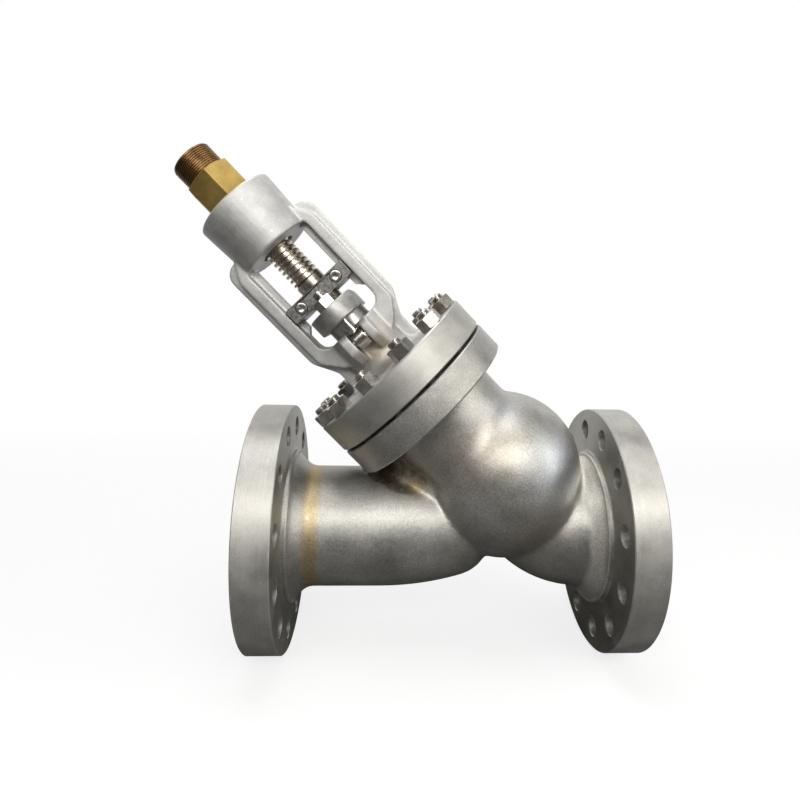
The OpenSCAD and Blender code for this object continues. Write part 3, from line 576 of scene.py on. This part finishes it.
# rubbed brass for the hexagon's bevelled edges, paler than the facets: partly real wear, partly a painted
# highlight along the edges
rubbedBrassAndHighlight = plainMetal("rubbedBrassAndHighlight", 0.8, (0.5, 0.6), (0.75, 0.6, 0.3), (0.9, 0.76, 0.45),
                         clouds=50.0, grains=700.0, depth=0.00002)
threadBrass = plainMetal("threadBrass", 1.0, (0.36, 0.46), (0.16, 0.09, 0.035), (0.29, 0.18, 0.075),
                         clouds=50.0, grains=700.0, depth=0.00004)
bushBronze = plainMetal("bushBronze", 1.0, (0.3, 0.45), (0.36, 0.2, 0.09), (0.52, 0.33, 0.16),
                        clouds=60.0, grains=900.0, depth=0.00005)
bearingSteel = plainMetal("bearingSteel", 1.0, (0.1, 0.2), (0.5, 0.5, 0.5), (0.64, 0.64, 0.65),
                          clouds=80.0, grains=1500.0, depth=0.00002)
graphite = plainMetal("graphite", 0.2, (0.5, 0.7), (0.03, 0.03, 0.032), (0.07, 0.07, 0.072),
                      clouds=300.0, grains=1600.0, depth=0.00015)
hardFacing = plainMetal("hardFacing", 1.0, (0.14, 0.26), (0.48, 0.48, 0.5), (0.6, 0.6, 0.63),
                        clouds=50.0, grains=1300.0, depth=0.00003)
print("finishes made")


# Body casting

bodySizes = {"voxel": 0.0025, "rounds": 20, "kept": 0.6}
bodyCuts = {"before": -0.01, "beyond": 0.2, "face": 0.03, "hub": 0.122, "backFrom": 0.02, "back": 0.0543,
            "jointFrom": 0.283, "jointTo": 0.31, "skin": 0.15, "skinTo": 0.05, "neckFloor": 0.12,
            "seat": 0.07015, "seatFloor": 0.026, "seatTop": 0.06}
endFlange = {"raisedFace": 0.10795, "raise": 0.0064, "rim": 0.1778, "back": 0.0544, "hub": 0.1113,
             "hubEnd": 0.0624, "bore": 0.0762, "edge": 0.0013, "boreEdge": 0.0015, "faceEdge": 0.0006,
             "hubEdge": 0.002, "boreStep": 0.0004, "boltCircle": 0.14605, "hole": 0.0143, "bolts": 12,
             "flare": 0.003, "flareEnd": 0.002}
jointFlange = {"rim": 0.1342, "bottom": 0.2552, "top": 0.297, "bottomEdge": 0.002, "topEdge": 0.0015,
               "recess": 0.0945, "recessFloor": 0.285, "bore": 0.078, "studCircle": 0.117, "studs": 12,
               "studHole": 0.01015, "studFloor": 0.265}


def endFlangeMesh(line):
    size = endFlange
    edge = size["edge"]
    return turned([(size["bore"], size["boreEdge"]), (size["bore"] + size["boreEdge"], 0),
                   (size["raisedFace"] - size["faceEdge"], 0), (size["raisedFace"], size["faceEdge"]),
                   (size["raisedFace"], size["raise"]), (size["rim"] - edge, size["raise"]),
                   (size["rim"], size["raise"] + edge), (size["rim"], size["back"] - edge),
                   (size["rim"] - edge, size["back"]), (size["hub"], size["back"]),
                   (size["hub"], size["hubEnd"] - size["hubEdge"]),
                   (size["hub"] - size["boreEdge"], size["hubEnd"]),
                   (size["bore"] + size["boreStep"], size["hubEnd"]),
                   (size["bore"], size["hubEnd"] - size["hubEdge"])], line, rimSteps)


def boltHoles(line):
    # each hole is countersunk a little at both ends
    size = endFlange
    wide = size["hole"] + size["flare"]
    low, high = size["raise"] - size["flareEnd"], size["back"] + size["flareEnd"]
    hole = turned([(0, low), (wide, low), (size["hole"], size["raise"] + over),
                   (size["hole"], size["back"] - over), (wide, high), (0, high)], None, 40, False)
    return ringOf(hole, size["bolts"], size["boltCircle"], math.pi / size["bolts"], line)


crotch = {"leg": 0.087, "neck": neckRadius, "offset": neckOffset, "half": 0.066, "least": 0.002,
          "reach": 0.052, "hollow": 0.3, "sink": 0.008, "cover": 0.7, "steps": 30, "turns": 8}


def crotchFillet():
    # the cast web that fills the corner between the outlet leg, the neck and the flange above them
    size = crotch
    slant = math.sqrt(0.5)
    bm = bmesh.new()
    loops = []
    for step in range(size["steps"] + 1):
        y = size["half"] * (2 * step / size["steps"] - 1)
        top = math.sqrt(size["leg"] ** 2 - y * y)
        side = size["offset"] - math.sqrt(size["neck"] ** 2 - y * y)
        corner = Vector((stemFoot.x - top + 2 * side * slant, top))
        reach = size["least"] + size["reach"] * (1 - (y / size["half"]) ** 2)
        ends = [corner + reach * Vector((-1, 0)), corner + reach * Vector((-slant, slant))]
        pull = ends[0].lerp(ends[1], 0.5).lerp(corner, size["hollow"])
        curve = []
        for turn in range(size["turns"] + 1):
            share = turn / size["turns"]
            curve.append(ends[0].lerp(pull, share).lerp(pull.lerp(ends[1], share), share))
        covered = reach * size["cover"]
        deep = [corner + Vector((size["sink"] - covered, size["sink"] + covered)),
                corner + Vector((size["sink"], -size["sink"])), corner + Vector((-reach, -size["sink"]))]
        loops.append([bm.verts.new((x, y, z)) for x, z in curve + deep])
    for before, after in zip(loops, loops[1:]):
        for index in range(len(before)):
            beyond = (index + 1) % len(before)
            bm.faces.new([before[index], before[beyond], after[beyond], after[index]])
    bm.faces.new(loops[0])
    bm.faces.new(loops[-1])
    return meshFrom(bm)


neckFillet = {"neck": neckRadius, "offset": neckOffset, "globe": 0.116, "globeAcross": 0.0119,
              "globeUp": 0.114, "short": 0.008, "long": 0.018, "spread": 0.55, "dip": 0.004, "sink": 0.006,
              "steps": 96, "turns": 8}


def globeSkin(radius, angle):
    # radius from the neck line and height of the globe's skin, at an angle round that line
    size = neckFillet
    apart = size["globeAcross"] - size["offset"]
    flat = radius ** 2 + apart ** 2 - 2 * radius * apart * math.cos(angle)
    return Vector((radius, size["globeUp"] + math.sqrt(max(0, size["globe"] ** 2 - flat))))


def neckFilletMesh():
    # the broad cast radius between the neck and the globe, tighter on the side away from the outlet
    size = neckFillet
    inner = size["neck"] - size["sink"]
    bm = bmesh.new()
    loops = []
    for step in range(size["steps"]):
        angle = 2 * math.pi * step / size["steps"]
        corner = globeSkin(size["neck"], angle)
        length = size["short"] + (size["long"] - size["short"]) * min(1, 1 - math.cos(angle))
        upper = corner + Vector((0, length))
        lower = globeSkin(size["neck"] + length * size["spread"], angle)
        curve = []
        for turn in range(size["turns"] + 1):
            share = turn / size["turns"]
            curve.append(upper.lerp(corner, share).lerp(corner.lerp(lower, share), share))
        deep = [Vector((inner, lower.y - size["dip"])), Vector((inner, upper.y))]
        along, across = math.cos(angle), math.sin(angle)
        loops.append([bm.verts.new((size["offset"] + radius * along, radius * across, height))
                      for radius, height in curve + deep])
    for index, before in enumerate(loops):
        after = loops[(index + 1) % len(loops)]
        for place in range(len(before)):
            beyond = (place + 1) % len(before)
            bm.faces.new([before[place], before[beyond], after[beyond], after[place]])
    return meshFrom(bm, stemLine)


def bodyMesh():
    cuts = bodyCuts
    raw = cadCopy("body")
    print(f"body copy: {len(raw.polygons)} faces, {openEdges(raw)} open edges")
    raw = carve(raw, crotchFillet(), "UNION")
    raw = carve(raw, neckFilletMesh(), "UNION")
    for line in (outletLine, inletLine):
        raw = carve(raw, plug(cuts["beyond"], cuts["before"], cuts["face"], line))
        raw = carve(raw, ringBlock(cuts["hub"], cuts["beyond"], cuts["backFrom"], cuts["back"], line))
    raw = carve(raw, plug(cuts["skin"], cuts["jointFrom"], cuts["jointTo"], stemLine))
    skin = softened(raw, bodySizes["voxel"], bodySizes["rounds"], bodySizes["kept"])
    print(f"body skin: {len(skin.polygons)} faces")
    for line in (outletLine, inletLine):
        skin = carve(skin, plug(cuts["skin"], 0, cuts["skinTo"], line))
        skin = carve(skin, endFlangeMesh(line), "UNION")
        skin = carve(skin, boltHoles(line))
    size = jointFlange
    lowEdge, highEdge = size["bottomEdge"], size["topEdge"]
    joint = turned([(size["bore"], size["bottom"]), (size["rim"] - lowEdge, size["bottom"]),
                    (size["rim"], size["bottom"] + lowEdge), (size["rim"], size["top"] - highEdge),
                    (size["rim"] - highEdge, size["top"]), (size["recess"], size["top"]),
                    (size["recess"], size["recessFloor"]), (size["bore"], size["recessFloor"])],
                   stemLine, rimSteps)
    skin = carve(skin, joint, "UNION")
    stud = plug(size["studHole"], size["studFloor"], size["top"] + over, None, 32)
    skin = carve(skin, ringOf(stud, size["studs"], size["studCircle"], math.pi / size["studs"], stemLine))
    skin = carve(skin, plug(size["bore"], cuts["neckFloor"], size["top"] + over, stemLine))
    return carve(skin, plug(cuts["seat"], cuts["seatFloor"], cuts["seatTop"], stemLine))


body = bodyMesh()
body.materials.clear()
alongAxis = 0.8  # the least of its normal that a flat face has along the axis


def onFlangeRim(at, normal):
    onRim = at.xy.length > endFlange["rim"] - 0.0023
    return onRim and 0 < at.z < endFlange["back"] and abs(normal.z) < alongAxis


def onRaisedFace(at, normal):
    return at.z < 0.0002 and normal.z < -alongAxis


def onFlangeBack(at, normal):
    return abs(at.z - endFlange["back"]) < 0.0006 and normal.z > alongAxis


for line in (outletLine, inletLine):
    for mark, rule in enumerate((onFlangeRim, onRaisedFace, onFlangeBack), 1):
        paintFaces(body, line, rule, mark)
makePiece("bodyCasting", body, "valve_frame",
          [castSteel, pipeRimSteel, raisedFaceSteel, flangeBackPaintedShade], ["body"])


# Bonnet casting with the yoke

bonnetSizes = {"voxel": 0.00154, "rounds": 6}
bonnetCuts = {"beyond": 0.2, "jointFrom": 0.28, "jointTo": 0.33, "tower": 0.113, "topFrom": 0.32,
              "topTo": 0.34635, "skinTo": 0.336}
bonnetFlange = {"rim": 0.1342, "bottom": 0.3015, "top": 0.3466, "bottomEdge": 0.0015, "topEdge": 0.002,
                "spigot": 0.094, "spigotBottom": 0.2895, "bore": 0.0235, "studHole": 0.011}
coverBore = {"from": 0.288, "bush": 0.03515, "bushTop": 0.3095, "throatTop": 0.358, "packing": 0.03215,
             "to": 0.425}
headBore = {"from": 0.57, "nut": 0.026, "floor": 0.588, "bearing": 0.04815, "to": 0.665}
rail = {"inner": 0.045, "outer": 0.056, "bottom": 0.454, "top": 0.5745, "half": 0.011, "heel": 0.008,
        "heelUp": 0.009}
eyeboltPlace = {"across": 0.062, "pin": 0.401, "pinHole": 0.00615, "pinReach": 0.04}


def bonnetMesh():
    size, cuts = bonnetFlange, bonnetCuts
    lowEdge, highEdge = size["bottomEdge"], size["topEdge"]
    raw = cadCopy("bonnet")
    print(f"bonnet copy: {len(raw.polygons)} faces, {openEdges(raw)} open edges")
    raw = carve(raw, plug(cuts["beyond"], cuts["jointFrom"], cuts["jointTo"], stemLine))
    raw = carve(raw, ringBlock(cuts["tower"], cuts["beyond"], cuts["topFrom"], cuts["topTo"], stemLine))
    skin = softened(raw, bonnetSizes["voxel"], bonnetSizes["rounds"])
    skin = carve(skin, plug(cuts["beyond"], cuts["topFrom"], cuts["skinTo"], stemLine))
    joint = turned([(size["bore"], size["spigotBottom"]), (size["spigot"], size["spigotBottom"]),
                    (size["spigot"], size["bottom"]), (size["rim"] - lowEdge, size["bottom"]),
                    (size["rim"], size["bottom"] + lowEdge), (size["rim"], size["top"] - highEdge),
                    (size["rim"] - highEdge, size["top"]), (size["bore"], size["top"])], stemLine, rimSteps)
    skin = carve(skin, joint, "UNION")
    for side in (-1, 1):
        outline = [(rail["outer"], rail["bottom"]), (rail["inner"] + rail["heel"], rail["bottom"]),
                   (rail["inner"], rail["bottom"] + rail["heelUp"]), (rail["inner"], rail["top"]),
                   (rail["outer"], rail["top"])]
        outline = [(side * x, z) for x, z in outline]
        skin = carve(skin, slab(outline, -rail["half"], rail["half"], stemLine), "UNION")
    stud = plug(size["studHole"], size["bottom"] - over, size["top"] + over, None, 32)
    skin = carve(skin, studRing(stud))
    low, high = coverBore, headBore
    bores = ([(0, low["from"]), (low["bush"], low["from"]), (low["bush"], low["bushTop"]),
              (size["bore"], low["bushTop"]), (size["bore"], low["throatTop"]),
              (low["packing"], low["throatTop"]), (low["packing"], low["to"]), (0, low["to"])],
             [(0, high["from"]), (high["nut"], high["from"]), (high["nut"], high["floor"]),
              (high["bearing"], high["floor"]), (high["bearing"], high["to"]), (0, high["to"])])
    for profile in bores:
        skin = carve(skin, turned(profile, stemLine, 96, False))
    place = eyeboltPlace
    for side in (-1, 1):
        line = stemLine @ Matrix.Translation((0, side * place["across"], place["pin"])) @ acrossStem
        skin = carve(skin, plug(place["pinHole"], -place["pinReach"], place["pinReach"], line, 32))
    return skin


def studRing(mesh, line=stemLine, spread=0.0, seed=0):
    # one copy at each stud of the bonnet joint
    count = jointFlange["studs"]
    return ringOf(mesh, count, jointFlange["studCircle"], math.pi / count, line, spread, seed)


def onBonnetRim(at, normal):
    onRim = at.xy.length > bonnetFlange["rim"] - 0.0017
    return onRim and at.z < 0.3462 and abs(normal.z) < alongAxis


bonnet = bonnetMesh()
bonnet.materials.clear()
paintFaces(bonnet, stemLine, onBonnetRim)
makePiece("bonnetCasting", bonnet, "valve_frame", [yokeSteel, jointRimSteel], ["bonnet"])


# Bolting

nutSizes = {"flats": 0.030, "height": 0.018, "hole": 0.0101, "seat": 0.3464, "spread": 0.5, "seed": 4}
studThread = {"pitch": 0.0025, "root": 0.0088, "crest": 0.00995, "rootWidth": 0.8, "crestWidth": 0.25,
              "steps": 24, "leftHand": False, "from": 0.3612, "to": 0.3698}
studSizes = {"radius": 0.01, "edge": 0.0005, "foot": 0.265, "plainTop": 0.36, "shoulder": 0.37,
             "tip": 0.0075, "top": 0.3713, "shadedTo": 0.34, "spread": 3.0, "seed": 2}
eyeThread = {"pitch": 0.002, "root": 0.0069, "crest": 0.0079, "rootWidth": 0.8, "crestWidth": 0.25,
             "steps": 24, "leftHand": False, "from": 0.4755, "to": 0.4845}
eyeboltSizes = {"voxel": 0.0009, "rounds": 8, "outside": 0.012, "cutFrom": 0.4745, "cutTo": 0.4875}
eyeNutSizes = {"flats": 0.027, "height": 0.016, "hole": 0.00815, "seat": 0.46, "turn": 0.25}


def hexNut(size):
    # both ends are turned at 30 degrees, and the bore has a small countersink
    flats, height, hole = size["flats"], size["height"], size["hole"]
    corner = flats / math.sqrt(3)
    land = flats / 2 - 0.0006
    drop = (corner - land) * math.tan(math.radians(30))
    sink = hole + 2 * over
    prism = plug(corner, 0, height, None, 6)
    cone = turned([(0, 0), (land, 0), (corner, drop), (corner, height - drop), (land, height), (0, height)],
                  None, 72, False)
    bore = turned([(0, -over), (sink, -over), (hole, over), (hole, height - over), (sink, height + over),
                   (0, height + over)], None, 48, False)
    return carve(carve(prism, cone, "INTERSECT"), bore)


def studMesh():
    size = studSizes
    root = studThread["root"]
    bar = turned([(0, size["foot"]), (size["radius"] - size["edge"], size["foot"]),
                  (size["radius"], size["foot"] + size["edge"]), (size["radius"], size["plainTop"]),
                  (root, studThread["from"]), (root, size["shoulder"]), (size["tip"], size["top"]),
                  (0, size["top"])], None, 48, False)
    return joined(bar, threadOn(studThread, Matrix.Identity(4)))


studs = studRing(studMesh(), stemLine, studSizes["spread"], studSizes["seed"])
studs.materials.clear()
# painted shade: stud faces below shadedTo, across the gap between the flanges, take the near-black steel
paintFaces(studs, stemLine, lambda at, normal: at.z < studSizes["shadedTo"])
makePiece("bonnetStuds", studs, "valve_frame", [boltingSteel, shadedSteel],
          ["bonnet_studs"])
seatLine = stemLine @ Matrix.Translation((0, 0, nutSizes["seat"]))
nuts = studRing(hexNut(nutSizes), seatLine, nutSizes["spread"], nutSizes["seed"])
makePiece("bonnetNuts", nuts, "valve_frame", [boltingSteel], ["bonnet_nuts"])

for side, place in ((-1, "front"), (1, "rear")):
    line = stemLine @ Matrix.Translation((0, side * eyeboltPlace["across"], 0))
    size = eyeboltSizes
    turnedOff = ringBlock(eyeThread["root"], size["outside"], size["cutFrom"], size["cutTo"], line)
    eyebolt = carve(softened(cadCopy("eyebolt_" + place), size["voxel"], size["rounds"]), turnedOff)
    eyebolt = joined(eyebolt, threadOn(eyeThread, line))
    makePiece("eyebolt" + place.title(), eyebolt, "valve_frame", [boltingSteel],
              ["eyebolt_" + place])
    nut = hexNut(eyeNutSizes)
    nut.transform(line @ Matrix.Translation((0, 0, eyeNutSizes["seat"]))
                  @ Matrix.Rotation(eyeNutSizes["turn"], 4, "Z"))
    makePiece("eyeboltNut" + place.title(), nut, "valve_frame", [boltingSteel],
              ["eyebolt_nut_" + place])

flange = bevelled(cadCopy("gland_flange"), 0.0015, -1, 3)
makePiece("glandFlange", flange, "valve_frame", [glandSteel], ["gland_flange"])


# Stem and its guide

stemCore = {"radius": 0.017, "from": 0.5172, "to": 0.76, "foot": 0.0222, "footFrom": 0.512, "outside": 0.03}
stemThread = {"pitch": 0.008, "root": 0.0168, "crest": 0.0218, "rootWidth": 0.56, "crestWidth": 0.4,
              "steps": 48, "leftHand": True, "from": 0.5145, "to": 0.744}


def coreCut(size, steps):
    # what is turned off round a core, with a cone at its foot, so that a thread has room
    return turned([(size["foot"], size["footFrom"]), (size["outside"], size["footFrom"]),
                   (size["outside"], size["to"]), (size["radius"], size["to"]),
                   (size["radius"], size["from"])], stemLine, steps)


stem = joined(carve(cadCopy("stem"), coreCut(stemCore, 96)), threadOn(stemThread, stemLine))
makePiece("valveStem", stem, "stem", [stemSteel], ["stem"])

for side in ("front", "rear"):
    clamp = bevelled(cadCopy("guide_clamp_" + side), 0.0008, 1, 1)
    makePiece("guideClamp" + side.title(), clamp, "stem", [guideSteel, wornEdge],
              ["guide_clamp_" + side])
screws = bevelled(cadCopy("guide_screws"), 0.0005, -1, 2)
makePiece("guideScrews", screws, "stem", [boltingSteel], ["guide_screws"])


# Stem nut with its drive hexagon and fine thread

driveCore = {"radius": 0.0291, "from": 0.7138, "to": 0.75, "foot": 0.0306, "footFrom": 0.7123,
             "outside": 0.033}
driveThread = {"pitch": 0.003, "root": 0.029, "crest": 0.03045, "rootWidth": 0.84, "crestWidth": 0.24,
               "steps": 120, "leftHand": False, "from": 0.7135, "to": 0.7445}
hexagon = {"turn": 38, "edge": 0.0012, "threadFrom": 0.7127, "threadOut": 0.026, "sharp": 14}

# the bevels take the second finish: rubbed brass that is partly a painted highlight
nut = bevelled(carve(cadCopy("stem_nut"), coreCut(driveCore, 120)), hexagon["edge"], 1, 1)
nut = joined(nut, threadOn(driveThread, stemLine))
paintFaces(nut, stemLine,
           lambda at, normal: at.z > hexagon["threadFrom"] and at.xy.length > hexagon["threadOut"], 2)
# a corner of the hexagon faces the front
turn = Matrix.Rotation(math.radians(hexagon["turn"]), 4, "Z")
nut.transform(stemLine @ turn @ stemLine.inverted())
makePiece("stemNut", nut, "stem_nut", [nutBrass, rubbedBrassAndHighlight, threadBrass], ["stem_nut"],
          hexagon["sharp"])


# Pieces whose solid is already right

plainFinishes = {
    machinedSteel: ["gland", "bearing_retainer", "disc_nut", "split_ring"],
    castSteel: ["disc"],
    hardFacing: ["seat_ring"],
    graphite: ["bonnet_gasket"] + [f"packing_ring_{index}" for index in range(1, 6)],
    bushBronze: ["backseat_bush"],
    boltingSteel: ["eyebolt_pin_front", "eyebolt_pin_rear"],
    bearingSteel: ["lower_housing_race", "lower_ball_cage", "lower_shaft_race", "upper_shaft_race",
                   "upper_ball_cage", "upper_housing_race"]}
for finish, nodeNames in plainFinishes.items():
    for nodeName in nodeNames:
        for slot in frame["nodes"][nodeName].material_slots:
            slot.material = finish
print("plain pieces dressed")


# Floor, backdrop, light and camera

studio = {"floor": cadBox[0].z, "shade": 0.13, "pale": 0.98, "middle": 0.28, "halfWidth": 6.0,
          "front": -5.0, "back": 2.2, "bend": 1.2, "bendSteps": 16, "wall": 6.0, "glow": 0.72,
          "glowFade": (-0.4, 1.5), "mirrorFade": (0.35, 1.6)}


def studioSweep():
    bm = bmesh.new()
    bend, steps = studio["bend"], studio["bendSteps"]
    outline = [(studio["front"], 0.0), (studio["back"], 0.0)]
    for step in range(1, steps + 1):
        angle = math.pi / 2 * step / steps
        outline.append((studio["back"] + bend * math.sin(angle), bend * (1 - math.cos(angle))))
    outline.append((studio["back"] + bend, studio["wall"]))
    rows = [[bm.verts.new((studio["middle"] + side * studio["halfWidth"], y, z + studio["floor"]))
             for y, z in outline] for side in (-1, 1)]
    for index in range(len(outline) - 1):
        bm.faces.new([rows[0][index], rows[1][index], rows[1][index + 1], rows[0][index + 1]])
    mesh = bpy.data.meshes.new("studioSweep")
    bm.to_mesh(mesh)
    bm.free()
    mesh.shade_smooth()
    sweep = looseObject(mesh, "studioSweep")
    material, tree, shader, place = newFinish("studioPaper", 0.0, 0.9)
    away = addNode(tree, "ShaderNodeSeparateXYZ", {0: place}).outputs[1]
    shader.inputs["Specular IOR Level"].default_value = 0.0
    glow = addNode(tree, "ShaderNodeEmission", {"Color": (1, 1, 1, 1), "Strength": 1.0})
    rays = addNode(tree, "ShaderNodeLightPath").outputs
    shade, pale = [(studio[key],) * 3 for key in ("shade", "pale")]
    tree.links.new(blended(tree, rays["Is Camera Ray"], shade, pale), shader.inputs["Base Color"])
    mirrored = reckon(tree, "MAXIMUM", rays["Is Glossy Ray"], rays["Is Transmission Ray"])
    direct = reckon(tree, "MULTIPLY", rays["Is Camera Ray"],
                    ranged(tree, away, *studio["glowFade"], studio["glow"]))
    reflected = reckon(tree, "MULTIPLY", mirrored, ranged(tree, away, *studio["mirrorFade"]))
    mix = addNode(tree, "ShaderNodeMixShader",
                  {0: reckon(tree, "ADD", direct, reflected), 1: shader.outputs[0], 2: glow.outputs[0]})
    tree.links.new(mix.outputs[0], tree.nodes["Material Output"].inputs["Surface"])
    mesh.materials.append(material)


def softLight(name, place, target, width, height, power, colour=(1, 1, 1)):
    light = bpy.data.lights.new(name, "AREA")
    light.shape = "RECTANGLE"
    light.size = width
    light.size_y = height
    light.energy = power
    light.color = colour
    lamp = bpy.data.objects.new(name, light)
    bpy.context.scene.collection.objects.link(lamp)
    lamp.location = place
    lamp.rotation_euler = (Vector(target) - Vector(place)).to_track_quat("-Z", "Y").to_euler()


studioSweep()
middle = (0.25, 0, 0.12)
softLight("keyLight", (0.4, -1.95, 1.3), middle, width=2.6, height=0.7, power=39, colour=(1.0, 0.985, 0.96))
softLight("topLight", (0.1, -0.1, 2.2), middle, width=1.6, height=0.9, power=23)
softLight("sideLight", (2.1, -0.8, 0.7), middle, width=0.6, height=1.4, power=14, colour=(1.0, 0.975, 0.93))

world = bpy.data.worlds.new("studioAir")
bpy.context.scene.world = world
world.use_nodes = True
air = world.node_tree
direction = addNode(air, "ShaderNodeTexCoord").outputs["Generated"]
up = addNode(air, "ShaderNodeSeparateXYZ", {0: direction}).outputs[2]
shade = blended(air, ranged(air, up, -0.1, 0.9), (0.15, 0.15, 0.15), (0.42, 0.42, 0.42))
seen = addNode(air, "ShaderNodeLightPath").outputs["Is Camera Ray"]
air.links.new(blended(air, seen, shade, (studio["pale"],) * 3), air.nodes["Background"].inputs["Color"])
air.nodes["Background"].inputs["Strength"].default_value = 1.0

view = {"place": (0.196113, -0.879971, 0.329087), "turn": (5.46853, -3.10264, 1.19210), "lens": 26.986,
        "shift": (-0.02955, -0.04592)}
turn = Vector([math.radians(angle) for angle in view["turn"]])
toCamera = Matrix.Rotation(turn.length, 3, turn.normalized()) @ Matrix(((1, 0, 0), (0, 0, -1), (0, 1, 0)))
camera = bpy.data.objects.new("photoCamera", bpy.data.cameras.new("photoCamera"))
bpy.context.scene.collection.objects.link(camera)
camera.matrix_world = (Matrix.Translation(view["place"])
                       @ Matrix((toCamera[0], -toCamera[1], -toCamera[2])).transposed().to_4x4())
camera.data.sensor_width = 36
camera.data.lens = view["lens"]
camera.data.shift_x, camera.data.shift_y = view["shift"]
camera.data.clip_start = 0.01
bpy.context.scene.camera = camera
bpy.context.scene.view_settings.view_transform = "Standard"
print("studio made")
